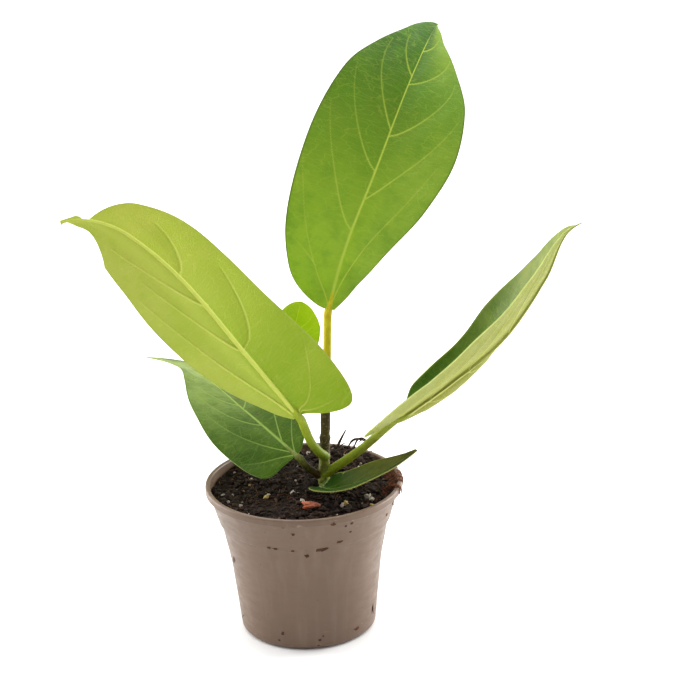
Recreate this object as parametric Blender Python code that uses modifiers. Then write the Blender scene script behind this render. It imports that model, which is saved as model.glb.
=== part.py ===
"""Potted bengal fig: a young rooted plant with six leathery leaves in a round plastic nursery pot.

Metres, +Z up.  The origin is the centre of the pot's base, +X is to the right and -Y is the
front.  The plant's points are written from the stem's foot: the height of the soil's crown on
the stem's own axis, so the plant stays rooted when the pot changes size.
"""

import math

import bmesh
import bpy
import numpy as np
from mathutils import Euler, Matrix, Vector

# ---- Driving dimensions: the pot ----
POT_HEIGHT = 0.095
RIM_RADIUS = 0.060
BASE_RADIUS = 0.0413  # where the side wall meets the rounded bottom corner
WALL = 0.0010
FLOOR = 0.0015
LIP_HEIGHT = 0.0045
LIP_OVERHANG = 0.0024  # how far the lip stands out from the collar
LIP_WIDTH = 0.0030
COLLAR_HEIGHT = 0.0230  # from the rim down to the step
COLLAR_DRAFT = 0.0051  # how much the collar narrows towards the step
STEP = 0.0013
WAIST_DROP = 0.0480  # from the rim down to where the side's taper eases off
WAIST_INSET = 0.0050
CORNER_RADIUS = 0.0042
DRAIN_RADIUS = 0.0040
DRAIN_RING = 0.0270
DRAIN_COUNT = 8
TURN_STEPS = 48

# ---- Driving dimensions: the soil and the stem ----
SOIL_EDGE_DROP = 0.0040  # from the rim down to the soil's edge
SOIL_CROWN_DROP = 0.0024  # and to its crown
GAP = 0.0003  # clearance between pieces that touch
STEM_X = 0.0123
STEM_RADIUS = 0.0034
STEM_TOP_RADIUS = 0.0027
STEM_BURIED = 0.0300
STALK_FOOT_FLARE = 1.15
STALK_NECK = 0.0030  # the straight end of a stalk, in line with the blade's midrib
STALK_POINTS = 10
STALK_GAP = 0.0007  # between a stalk's end and the blade, whose base face leans a little
NECK_RING = 0.3  # share of the neck at which it has one more ring, so that it stays straight
BASE_MARGIN = 1.3  # half-width of the blade's base, in stalk radii, so that the lobes clear the stalk
TUBE_BEVEL = 3

# ---- Driving dimensions: the leaves ----
LAMINA = 0.0006
LEAF_ROWS = 20
LEAF_COLUMNS = 8
COLUMN_POWER = 1.8  # gathers the columns towards the midrib
ROW_POWER = 1.25  # gathers the rows towards the base
LOBE_REACH = 0.12  # share of the midrib over which the basal lobes fade out
LOBE_SINUS = 1.6  # how far from the midrib the lobes start, in stalk radii
RIB_STEP = 0.001  # share of the midrib between the two points that give its direction
RIB_TAPER = 0.7  # how the midrib thins towards the tip
# Shares of the midrib at which the half-widths are given; at the first, it is the stalk's radius.
SHARES = np.array([0, 0.04, 0.12, 0.25, 0.40, 0.55, 0.70, 0.82, 0.90, 0.96, 1.0])

# Each leaf, left and right being seen from the base with the upper face up:
# stalk and rib   the stalk's and the midrib's points, from the stem's foot
# up              the direction that the upper face looks in, from base to tip
# left and right  the half-widths in millimetres, at SHARES[1:]
# fold and curl   for each half, the angle at which it leaves the midrib, and how much further it
#                 has turned up by the margin, in degrees, from base to tip
# lobe            for each half, how far its basal lobe reaches back, as a share of the half-width
# lobe_power      how far out the lobes start: a low power brings them close to the stalk
LEAVES = {
    "top": {
        "stalk": ((0.0033, 0.002, 0.0574), (0.0041, 0.0095, 0.0694), (0.0051, 0.0115, 0.0834)),
        "rib": (
            (0.0070, 0.012, 0.1089),
            (0.0187, 0.010, 0.1494),
            (0.0367, 0.018, 0.1909),
            (0.0602, 0.044, 0.2404),
            (0.0782, 0.086, 0.2629),
        ),
        "up": ((0, -1, 0.15), (0, -1, 0.25), (0, -0.8, 0.6)),
        "left": (16, 30, 41, 46, 46, 40, 28, 18, 11, 1.5),
        "right": (8, 15, 26, 37, 43, 38, 24, 12, 5, 1.2),
        "fold": ((10, 10, 4), (10, 10, 4)),
        "curl": ((0, 0, 0), (0, 0, 0)),
        "lobe": (0.25, 0.1),
        "lobe_power": 2.0,
        "stalk_radius": 0.0025,
        "rib_depth": 0.0030,
        "colour": (0.115, 0.27, 0.02),
    },
    "left": {
        "stalk": ((0.0011, 0.0, 0.0184), (-0.0063, -0.020, 0.0356)),
        "rib": (
            (-0.0133, -0.035, 0.0594),
            (-0.0438, -0.058, 0.1114),
            (-0.0768, -0.072, 0.1624),
            (-0.1058, -0.070, 0.1894),
            (-0.1253, -0.065, 0.1964),
            (-0.1438, -0.060, 0.1939),
        ),
        "up": ((-0.1, 0.95, -0.15), (-0.1, 0.95, -0.15), (0, 0.95, 0)),
        "left": (31, 36.5, 35, 32, 30, 27, 19, 5, 2.5, 1.5),
        "right": (8, 15, 25, 31, 33, 29.5, 23, 10, 3.5, 1.5),
        "fold": ((0, 15, 25, 30, 35), (10, 10, 5)),
        "curl": ((0, 0, 0), (0, 0, 0)),
        "lobe": (0.9, 0.2),
        "lobe_power": 0.8,
        "stalk_radius": 0.0026,
        "rib_depth": 0.0030,
        "colour": (0.38, 0.48, 0.07),
    },
    "lower_left": {
        "stalk": ((-0.0001, 0.0, 0.0040), (-0.0090, -0.003, 0.0118)),
        "rib": (
            (-0.0158, -0.012, 0.0244),
            (-0.0478, 0.030, 0.0384),
            (-0.0773, 0.075, 0.0459),
            (-0.1108, 0.110, 0.0439),
        ),
        "up": ((-0.25, -0.45, 0.8), (0.1, 0, 0.9), (0.4, 0.2, 0.9), (0.3, 0.2, 0.9)),
        "left": (22, 31, 36, 33, 24.5, 14, 8.5, 5.5, 3, 1.2),
        "right": (12, 20, 28, 33, 32, 27, 19, 11, 5, 1.2),
        "fold": ((0, 0, 0), (15, 15, 5)),
        "curl": ((0, 0, 0), (0, 0, 0)),
        "lobe": (0.7, 0.3),
        "lobe_power": 2.0,
        "stalk_radius": 0.0022,
        "rib_depth": 0.0026,
        "colour": (0.09, 0.17, 0.03),
    },
    "right": {
        "stalk": ((0.0002, 0.0, 0.0062), (0.0232, -0.002, 0.0224)),
        "rib": (
            (0.0477, -0.004, 0.0439),
            (0.0594, -0.003, 0.0514),
            (0.0747, 0.000, 0.0609),
            (0.1102, 0.004, 0.0889),
            (0.1365, 0.004, 0.1269),
            (0.1482, 0.004, 0.1529),
            (0.1587, 0.004, 0.1609),
        ),
        "up": ((-0.69, 0.24, 0.68), (-0.69, 0.24, 0.68), (-0.8, 0.2, 0.5)),
        "left": (26, 38, 43, 43, 38, 29, 20, 11, 4, 1.2),
        "right": (25, 32, 34.5, 36, 33, 25, 15, 7.5, 3, 1.2),
        "fold": ((-45, -55, -10, 12, 20), (9, 18, 20, 19, 25)),
        "curl": ((190, 165, 90, 60, 20), (0, 0, 0, 0, 0)),
        "lobe": (0.1, 1.05),
        "lobe_power": 0.55,
        "stalk_radius": 0.0026,
        "rib_depth": 0.0028,
        "colour": (0.16, 0.26, 0.06),
    },
    "low": {
        "stalk": ((0.0006, 0.0, 0.0036), (0.0012, -0.007, 0.0034)),
        "rib": (
            (-0.0003, -0.0145, 0.0036),
            (0.0077, -0.0250, 0.0075),
            (0.0227, -0.0260, 0.0125),
            (0.0397, -0.0220, 0.0190),
            (0.0567, -0.0140, 0.0262),
        ),
        "up": ((0, 0.05, 1), (0, 0.05, 1)),
        "left": (12, 15, 15.5, 16, 14.5, 11, 7, 4, 2.2, 1.2),
        "right": (9, 12, 14, 12, 8, 5.5, 4, 3, 2, 1.2),
        "fold": ((40, 16, 10, 8, 8), (12, 12, 10, 8, 8)),
        "curl": ((0, 0), (0, 0)),
        "lobe": (0.35, 0.4),
        "lobe_power": 0.6,
        "stalk_radius": 0.0014,
        "rib_depth": 0.0016,
        "colour": (0.06, 0.15, 0.02),
    },
    "young": {
        "stalk": ((0.0027, 0.001, 0.0494), (-0.0050, -0.003, 0.0600)),
        "rib": (
            (-0.0150, -0.004, 0.0720),
            (-0.0160, -0.006, 0.0930),
            (-0.0128, -0.008, 0.1090),
            (-0.0090, -0.008, 0.1215),
        ),
        "up": ((0.3, -1, 0.3), (0.3, -1, 0.4)),
        "left": (5, 9, 13, 15, 16, 15.5, 13, 10, 6.5, 1.2),
        "right": (5, 9, 13, 15, 16, 15.5, 13, 10, 6.5, 1.2),
        "fold": ((25, 15), (25, 15)),
        "curl": ((0, 0), (0, 0)),
        "lobe": (0.1, 0.1),
        "lobe_power": 2.0,
        "stalk_radius": 0.0014,
        "rib_depth": 0.0014,
        "colour": (0.32, 0.43, 0.02),
    },
}

# The stem's course above the soil, from its foot.
STEM_COURSE = (
    (0.0, 0.0, 0.0),
    (0.0011, 0.0, 0.0184),
    (0.0025, 0.001, 0.0424),
    (0.0035, 0.002, 0.0654),
)

BUD_LENGTH = 0.0170
BUD_RADIUS = 0.0021
BUD_LEAN = 8.0  # degrees, away from the top leaf's stalk
BUD_POINT = 1.6  # how long the bud stays slim towards its tip

SHEATH_LENGTH = 0.0105
SHEATH_WIDTH = 0.0060
SHEATH_SHELL = 0.0005
SHEATH_ROLL = 170.0  # degrees of arc that the dried sheath curls through
SHEATH_TAPER = 0.75  # how much narrower its tip is than its mouth
SHEATH_PLACE = (-0.0075, -0.0365)  # from the stem's foot

LIP_ROUND = 0.0010
OVERCUT = 0.0020

POT_COLOUR = (0.235, 0.165, 0.12)
SOIL_COLOUR = (0.020, 0.013, 0.009)
STEM_COLOUR = (0.10, 0.085, 0.02)
STALK_COLOUR = (0.20, 0.24, 0.04)
BUD_COLOUR = (0.20, 0.26, 0.04)
SHEATH_COLOUR = (0.35, 0.10, 0.03)

SOIL_CROWN = POT_HEIGHT - SOIL_CROWN_DROP
STEM_FOOT = Vector((STEM_X, 0.0, SOIL_CROWN))


def clear_scene():
    for obj in list(bpy.data.objects):
        bpy.data.objects.remove(obj)


def new_collection(name):
    collection = bpy.data.collections.new(name)
    bpy.context.scene.collection.children.link(collection)
    return collection


def new_material(name, colour, roughness):
    material = bpy.data.materials.new(name)
    material.use_nodes = True
    shader = material.node_tree.nodes["Principled BSDF"]
    shader.inputs["Base Color"].default_value = (*colour, 1.0)
    shader.inputs["Roughness"].default_value = roughness
    shader.inputs["Metallic"].default_value = 0.0
    material.diffuse_color = (*colour, 1.0)
    return material


def add_object(name, data, collection, material=None):
    obj = bpy.data.objects.new(name, data)
    collection.objects.link(obj)
    if material is not None:
        data.materials.append(material)
    return obj


def hide_helper(obj):
    obj.hide_render = True
    obj.display_type = "WIRE"


# ---- Smooth curves through a few points ----


def hermite(keys, values, shares):
    """A smooth curve through the values at these keys, read at each share from 0 to 1."""
    values = np.asarray(values, float)
    slopes = np.empty_like(values)
    spans = (keys[2:] - keys[:-2]).reshape(-1, *[1] * (values.ndim - 1))
    slopes[1:-1] = (values[2:] - values[:-2]) / spans
    slopes[0] = 2 * (values[1] - values[0]) / (keys[1] - keys[0]) - slopes[1]
    slopes[-1] = 2 * (values[-1] - values[-2]) / (keys[-1] - keys[-2]) - slopes[-2]
    shares = np.clip(np.asarray(shares, float), 0, 1)
    low = np.clip(np.searchsorted(keys, shares, side="right") - 1, 0, len(keys) - 2)
    shape = (-1, *[1] * (values.ndim - 1))
    step = (keys[low + 1] - keys[low]).reshape(shape)
    t = (shares - keys[low]).reshape(shape) / step
    return (
        (2 * t**3 - 3 * t**2 + 1) * values[low]
        + (t**3 - 2 * t**2 + t) * step * slopes[low]
        + (3 * t**2 - 2 * t**3) * values[low + 1]
        + (t**3 - t**2) * step * slopes[low + 1]
    )


def course(points, shares):
    """Points along the smooth curve through these points, by share of its chords' length."""
    points = np.asarray(points, float)
    chords = np.linalg.norm(np.diff(points, axis=0), axis=1)
    keys = np.concatenate([[0.0], np.cumsum(chords)]) / chords.sum()
    return hermite(keys, points, shares)


def along(values, shares):
    """Values given at equal steps along the leaf, read at each share."""
    values = np.asarray(values, float)
    keys = np.linspace(0, 1, len(values))
    if len(values) == 2:
        return values[0] + (values[1] - values[0]) * shares.reshape(-1, *[1] * (values.ndim - 1))
    return hermite(keys, values, shares)


def unit(vectors):
    return vectors / np.linalg.norm(vectors, axis=-1, keepdims=True)


# ---- Turned pieces and tubes ----


def turned(name, profile, collection, material=None):
    """A profile of (radius, height), from the axis up the inside and down the outside, turned."""
    mesh = bpy.data.meshes.new(name)
    points = [(radius, 0.0, height) for radius, height in profile]
    edges = [(i, i + 1) for i in range(len(points) - 1)]
    mesh.from_pydata(points, edges, [])
    obj = add_object(name, mesh, collection, material)
    screw = obj.modifiers.new("turn", "SCREW")
    screw.axis = "Z"
    screw.steps = TURN_STEPS
    screw.render_steps = TURN_STEPS
    screw.use_merge_vertices = True
    screw.merge_threshold = 0.00001
    screw.use_smooth_shade = True
    return obj


def tube(name, points, radii, collection, material=None):
    """A round tube with filled caps along these points, made a mesh so that it can be cut."""
    curve = bpy.data.curves.new(name, "CURVE")
    curve.dimensions = "3D"
    curve.bevel_depth = max(radii)
    curve.bevel_resolution = TUBE_BEVEL
    curve.use_fill_caps = True
    spline = curve.splines.new("POLY")
    spline.points.add(len(points) - 1)
    for target, point, radius in zip(spline.points, points, radii):
        target.co = (*point, 1.0)
        target.radius = radius / max(radii)
    guide = add_object(name + "_guide", curve, collection)
    graph = bpy.context.evaluated_depsgraph_get()
    mesh = bpy.data.meshes.new_from_object(guide.evaluated_get(graph))
    mesh.name = name
    obj = add_object(name, mesh, collection, material)
    obj.matrix_world = guide.matrix_world
    bpy.data.objects.remove(guide)
    bm = bmesh.new()
    bm.from_mesh(mesh)
    bmesh.ops.remove_doubles(bm, verts=bm.verts, dist=0.00001)
    bmesh.ops.recalc_face_normals(bm, faces=bm.faces)
    bm.to_mesh(mesh)
    bm.free()
    mesh.shade_smooth()
    mesh.set_sharp_from_angle(angle=math.radians(50))
    return obj


def cut(obj, cutter):
    boolean = obj.modifiers.new("cut by " + cutter.name, "BOOLEAN")
    boolean.operation = "DIFFERENCE"
    boolean.solver = "EXACT"
    boolean.object = cutter


# ---- The pot and its soil ----


def pot_side():
    """The outside of the pot's side wall from the collar's top down to the corner."""
    collar_top = RIM_RADIUS - LIP_OVERHANG
    collar_foot = collar_top - COLLAR_DRAFT
    body_top = collar_foot - STEP
    return [
        (collar_top, POT_HEIGHT - LIP_HEIGHT),
        (collar_foot, POT_HEIGHT - COLLAR_HEIGHT),
        (body_top, POT_HEIGHT - COLLAR_HEIGHT - STEP / 2),
        (body_top - WAIST_INSET, POT_HEIGHT - WAIST_DROP),
        (BASE_RADIUS, CORNER_RADIUS),
    ]


def corner_arc(radius, height, fillet):
    """A quarter turn from the side, at this radius and height, in to the flat below."""
    arc = []
    for step in range(1, 5):
        turn = math.radians(90 * step / 4)
        arc.append((radius - fillet + fillet * math.cos(turn), height - fillet * math.sin(turn)))
    return arc


def inner_side(inset):
    """The inside of the side wall, from the floor's corner up to the rim, set in by inset."""
    side = [(radius - WALL - inset, height) for radius, height in reversed(pot_side())]
    side.append((RIM_RADIUS - LIP_WIDTH - inset, POT_HEIGHT - LIP_ROUND))
    floor_corner = corner_arc(*side[0], CORNER_RADIUS - FLOOR - inset)
    return list(reversed(floor_corner)) + side


def make_pot(collection, cutters):
    lip = [
        (RIM_RADIUS - LIP_WIDTH + LIP_ROUND, POT_HEIGHT),
        (RIM_RADIUS - LIP_ROUND, POT_HEIGHT),
        (RIM_RADIUS, POT_HEIGHT - LIP_ROUND),
        (RIM_RADIUS, POT_HEIGHT - LIP_HEIGHT),
    ]
    outside = pot_side()
    profile = [(0.0, FLOOR)] + inner_side(0.0) + lip + outside
    profile += corner_arc(BASE_RADIUS, CORNER_RADIUS, CORNER_RADIUS) + [(0.0, 0.0)]
    material = new_material("taupe plastic", POT_COLOUR, 0.45)
    pot = turned("pot", profile, collection, material)
    bm = bmesh.new()
    for index in range(DRAIN_COUNT):
        angle = 2 * math.pi * (index + 0.5) / DRAIN_COUNT
        place = (DRAIN_RING * math.cos(angle), DRAIN_RING * math.sin(angle), FLOOR / 2)
        bmesh.ops.create_cone(
            bm,
            cap_ends=True,
            segments=16,
            radius1=DRAIN_RADIUS,
            radius2=DRAIN_RADIUS,
            depth=FLOOR + 2 * OVERCUT,
            matrix=Matrix.Translation(place),
        )
    mesh = bpy.data.meshes.new("drain_holes")
    bm.to_mesh(mesh)
    bm.free()
    drains = add_object("drain_holes", mesh, cutters)
    hide_helper(drains)
    cut(pot, drains)
    return pot


def make_soil(collection, stem_cutter):
    edge = POT_HEIGHT - SOIL_EDGE_DROP
    side = [point for point in inner_side(GAP) if point[1] < edge]
    upper = next(point for point in inner_side(GAP) if point[1] >= edge)
    share = (edge - side[-1][1]) / (upper[1] - side[-1][1])
    rim = (side[-1][0] + share * (upper[0] - side[-1][0]), edge)
    mound = []
    for step in range(1, 5):
        reach = 1 - step / 5
        height = edge + (SOIL_CROWN - edge) * (1 - reach**2)
        mound.append((rim[0] * reach, height))
    outside = [rim] + list(reversed(side))
    floor = [(0.0, FLOOR + GAP)]
    profile = [(0.0, SOIL_CROWN)] + list(reversed(mound)) + outside + floor
    soil = turned("soil", profile, collection, new_material("potting soil", SOIL_COLOUR, 0.95))
    cut(soil, stem_cutter)
    return soil


# ---- The stem, stalks, bud and sheath ----


def from_foot(points):
    return [tuple(Vector(point) + STEM_FOOT) for point in points]


def stem_line(extend):
    """The stem's points and radii from its buried end to its top, longer by extend both ways."""
    shares = np.linspace(0, 1, 9)
    above = course(from_foot(STEM_COURSE), shares)
    foot = STEM_FOOT - Vector((0, 0, STEM_BURIED + extend))
    rise = unit(above[-1] - above[-2])
    points = [tuple(foot)] + [tuple(point) for point in above] + [tuple(above[-1] + rise * extend)]
    taper = STEM_RADIUS + (STEM_TOP_RADIUS - STEM_RADIUS) * shares
    radii = [STEM_RADIUS] + list(taper) + [STEM_TOP_RADIUS]
    return (points, radii) if extend else (points[:-1], radii[:-1])


def make_stem(collection, cutters):
    """Makes the stem, and returns the cutter that keeps the pieces around it clear."""
    points, radii = stem_line(0.0)
    tube("stem", points, radii, collection, new_material("stem bark", STEM_COLOUR, 0.6))
    points, radii = stem_line(GAP)
    cutter = tube("stem_clearance", points, [radius + GAP for radius in radii], cutters)
    hide_helper(cutter)
    return cutter


def make_stalk(name, leaf, collection, stem_cutter, material):
    """The leaf's stalk, from the stem's axis to just short of the blade."""
    rib_start = course(from_foot(leaf["rib"]), [0.0, RIB_STEP])
    heading = unit(rib_start[1] - rib_start[0])
    end = rib_start[0] - heading * STALK_GAP
    neck = end - heading * STALK_NECK
    guide_points = [*from_foot(leaf["stalk"]), tuple(neck), tuple(end)]
    shares = np.linspace(0, 1, STALK_POINTS)
    points = list(course(guide_points, shares[:-1])) + [end]
    points[-2] = neck + NECK_RING * (end - neck)
    flare = STALK_FOOT_FLARE + (1 - STALK_FOOT_FLARE) * shares
    radii = list(leaf["stalk_radius"] * flare)
    stalk = tube(name, points, radii, collection, material)
    cut(stalk, stem_cutter)
    return stalk


def make_bud(collection):
    """The pointed bud on the stem's tip, wrapped in its sheath."""
    profile = [(0.0, BUD_LENGTH)]
    for step in range(1, 8):
        share = 1 - step / 8
        profile.append((BUD_RADIUS * math.sqrt(1 - share**BUD_POINT), BUD_LENGTH * share))
    profile += [(BUD_RADIUS, 0.0), (0.0, 0.0)]
    bud = turned("terminal_bud", profile, collection, new_material("bud", BUD_COLOUR, 0.5))
    top = Vector(STEM_COURSE[-1]) + STEM_FOOT
    clear = GAP + BUD_RADIUS * math.sin(math.radians(BUD_LEAN))
    bud.location = top + Vector((0, 0, clear))
    bud.rotation_euler = Euler((math.radians(BUD_LEAN), 0, 0))
    return bud


def make_sheath(collection):
    """The dried sheath that the leaf below shed: a curled scale lying on the soil."""
    bm = bmesh.new()
    bmesh.ops.create_grid(bm, x_segments=8, y_segments=6, size=1.0)
    for vert in bm.verts:
        share = (vert.co.y + 1) / 2
        radius = SHEATH_WIDTH / 2 * (1 - SHEATH_TAPER * share**2)
        turn = math.radians(SHEATH_ROLL / 2) * vert.co.x
        across = radius * math.sin(turn)
        height = radius * math.cos(turn)
        vert.co = Vector((SHEATH_LENGTH * (share - 0.5), across, height))
    bmesh.ops.reverse_faces(bm, faces=bm.faces)
    mesh = bpy.data.meshes.new("dried_sheath")
    bm.to_mesh(mesh)
    bm.free()
    mesh.shade_smooth()
    material = new_material("dried sheath", SHEATH_COLOUR, 0.7)
    sheath = add_object("dried_sheath", mesh, collection, material)
    shell = sheath.modifiers.new("shell", "SOLIDIFY")
    shell.thickness = SHEATH_SHELL
    shell.offset = 0.0
    x, y = SHEATH_PLACE
    sheath.location = STEM_FOOT + Vector((x, y, SHEATH_SHELL + GAP))
    return sheath


# ---- The leaves ----


def blade_point_grid(leaf, shares, reaches):
    """The upper face: a point for each share of the midrib and each reach from -1 to 1 across."""
    rib = from_foot(leaf["rib"])
    centre = course(rib, shares)
    ahead = course(rib, np.clip(shares + RIB_STEP, 0, 1))
    heading = unit(ahead - course(rib, np.clip(shares - RIB_STEP, 0, 1)))
    up = along(leaf["up"], shares)
    normal = unit(up - np.sum(up * heading, axis=1, keepdims=True) * heading)
    side = np.cross(heading, normal)
    grid = np.empty((len(shares), len(reaches), 3))
    for column, reach in enumerate(reaches):
        half = int(reach > 0)
        widths = np.array([0.0, *leaf["right" if half else "left"]]) / 1000
        widths[0] = leaf["stalk_radius"] * BASE_MARGIN
        widest = widths.max()
        out = np.sqrt(np.clip(hermite(SHARES, widths**2, shares), 1e-7, None)) * abs(reach)
        start = np.radians(along(leaf["fold"][half], shares))
        bend = np.radians(along(leaf["curl"][half], shares)) / widest
        bend = np.where(np.abs(bend) < 1e-3, 1e-3, bend)
        across = (np.sin(start + bend * out) - np.sin(start)) / bend
        lift = (np.cos(start) - np.cos(start + bend * out)) / bend
        back = leaf["lobe"][half] * np.exp(-((shares / LOBE_REACH) ** 2)) * widest
        sinus = leaf["stalk_radius"] * LOBE_SINUS
        back = back * np.clip((out - sinus) / (widest - sinus), 0, 1) ** leaf["lobe_power"]
        grid[:, column] = (
            centre
            + side * (math.copysign(1, reach) * across)[:, None]
            + normal * lift[:, None]
            - heading * back[:, None]
        )
    return grid


def make_blade(name, leaf, collection, material):
    """A leaf blade: a grid laid along the midrib, thick at the rib and thin at the margin."""
    bm = bmesh.new()
    bmesh.ops.create_grid(bm, x_segments=LEAF_COLUMNS, y_segments=LEAF_ROWS, size=1.0)
    columns = np.linspace(-1, 1, LEAF_COLUMNS + 1)
    shares = np.linspace(0, 1, LEAF_ROWS + 1) ** ROW_POWER
    reaches = np.sign(columns) * np.abs(columns) ** COLUMN_POWER
    points = blade_point_grid(leaf, shares, reaches)
    weights = {}
    bm.verts.index_update()
    for vert in bm.verts:
        column = round((vert.co.x + 1) / 2 * LEAF_COLUMNS)
        row = round((vert.co.y + 1) / 2 * LEAF_ROWS)
        vert.co = Vector(points[row, column])
        on_rib = column == LEAF_COLUMNS // 2
        weights[vert.index] = (1 - shares[row]) ** RIB_TAPER if on_rib else 0.0
    mesh = bpy.data.meshes.new(name)
    bm.to_mesh(mesh)
    bm.free()
    mesh.shade_smooth()
    blade = add_object(name, mesh, collection, material)
    group = blade.vertex_groups.new(name="rib")
    for index, weight in weights.items():
        group.add([index], float(weight), "REPLACE")
    shell = blade.modifiers.new("shell", "SOLIDIFY")
    shell.thickness = leaf["rib_depth"]
    shell.offset = -1.0
    shell.vertex_group = group.name
    shell.thickness_vertex_group = LAMINA / leaf["rib_depth"]
    return blade


def make_leaves(collection, stem_cutter):
    stalk_material = new_material("leaf stalk", STALK_COLOUR, 0.55)
    for key, leaf in LEAVES.items():
        blade_material = new_material(key + " leaf", leaf["colour"], 0.4)
        make_stalk("stalk_" + key, leaf, collection, stem_cutter, stalk_material)
        make_blade("leaf_" + key, leaf, collection, blade_material)


def main():
    clear_scene()
    parts = new_collection("potted bengal fig")
    cutters = new_collection("cutters")
    make_pot(parts, cutters)
    stem_cutter = make_stem(parts, cutters)
    make_soil(parts, stem_cutter)
    make_bud(parts)
    make_sheath(parts)
    make_leaves(parts, stem_cutter)


main()
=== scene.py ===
"""Potted bengal fig: the looks, laid out as an add-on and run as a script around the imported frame.

Metres, +Z up.  The origin is the centre of the pot's base, +X is to the right and -Y is the
front.  The plant's points are written from the stem's foot, as in the design.
"""

import math
import random

import bpy
import numpy as np
from bpy.props import FloatProperty, FloatVectorProperty, IntProperty, PointerProperty
from mathutils import Matrix, Vector, noise


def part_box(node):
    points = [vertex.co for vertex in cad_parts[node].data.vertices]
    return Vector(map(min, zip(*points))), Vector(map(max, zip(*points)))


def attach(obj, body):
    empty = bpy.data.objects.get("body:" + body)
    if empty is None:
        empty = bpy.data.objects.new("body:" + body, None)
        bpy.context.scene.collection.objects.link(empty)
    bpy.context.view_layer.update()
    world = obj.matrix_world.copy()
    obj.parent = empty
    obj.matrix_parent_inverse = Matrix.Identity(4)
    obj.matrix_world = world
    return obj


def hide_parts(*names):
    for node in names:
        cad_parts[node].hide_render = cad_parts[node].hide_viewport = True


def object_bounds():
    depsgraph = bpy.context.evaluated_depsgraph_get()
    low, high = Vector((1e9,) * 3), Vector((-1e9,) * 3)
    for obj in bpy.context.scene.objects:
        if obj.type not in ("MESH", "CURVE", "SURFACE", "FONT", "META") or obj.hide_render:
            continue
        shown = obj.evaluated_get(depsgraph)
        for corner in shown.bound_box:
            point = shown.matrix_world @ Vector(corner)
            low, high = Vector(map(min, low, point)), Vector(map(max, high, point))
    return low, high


bl_info = {
    "name": "Potted Bengal Fig",
    "version": (1, 0, 0),
    "blender": (4, 5, 0),
    "location": "View3D > Sidebar > Bengal Fig",
    "description": "Builds the finished surfaces of a potted bengal fig around its frame",
    "category": "Object",
}

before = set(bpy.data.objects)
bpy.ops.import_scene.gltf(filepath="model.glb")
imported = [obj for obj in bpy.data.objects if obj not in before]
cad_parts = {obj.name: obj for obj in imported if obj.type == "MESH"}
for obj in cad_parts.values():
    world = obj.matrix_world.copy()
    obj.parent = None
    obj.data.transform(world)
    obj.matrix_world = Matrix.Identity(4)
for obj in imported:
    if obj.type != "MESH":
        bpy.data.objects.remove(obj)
CAD_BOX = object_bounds()

# ---- Sizes that the frame gives ----
POT_LOW, POT_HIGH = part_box("pot")
SOIL_LOW, SOIL_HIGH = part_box("soil")
RIM_RADIUS = POT_HIGH.x
POT_HEIGHT = POT_HIGH.z
SOIL_RADIUS = SOIL_HIGH.x
SOIL_CROWN = SOIL_HIGH.z
STEM_FOOT = Vector((0.0123, 0.0, SOIL_CROWN))
MM = 0.001
WELD = 0.00001

# ---- The pot, as designed ----
BASE_RADIUS = 0.0413
WALL = 0.0010
FLOOR = 0.0015
LIP_HEIGHT = 0.0045
LIP_OVERHANG = 0.0024
LIP_WIDTH = 0.0030
COLLAR_HEIGHT = 0.0230
COLLAR_DRAFT = 0.0051
STEP = 0.0013
WAIST_DROP = 0.0480
WAIST_INSET = 0.0050
CORNER_RADIUS = 0.0042
DRAIN_RADIUS = 0.0040
DRAIN_RING = 0.0270
DRAIN_COUNT = 8
TURN_STEPS = 192
LIP_FOOT = POT_HEIGHT - LIP_HEIGHT
COLLAR_TOP = RIM_RADIUS - LIP_OVERHANG
COLLAR_FOOT = COLLAR_TOP - COLLAR_DRAFT
COLLAR_FOOT_HEIGHT = POT_HEIGHT - COLLAR_HEIGHT
BODY_TOP = COLLAR_FOOT - STEP

# ---- The leaves, as designed ----
LAMINA = 0.0006
COLUMN_POWER = 1.35
ROW_POWER = 1.15
LOBE_REACH = 0.12
LOBE_SINUS = 1.6
BASE_MARGIN = 1.3
RIB_STEP = 0.001
SHARES = np.array([0, 0.04, 0.12, 0.25, 0.40, 0.55, 0.70, 0.82, 0.90, 0.96, 1.0])
UV_PER_METRE = 10.0
FULL_RIB_DEPTH = 0.003
UNDERSIDE_SHINE = 0.15

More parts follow.
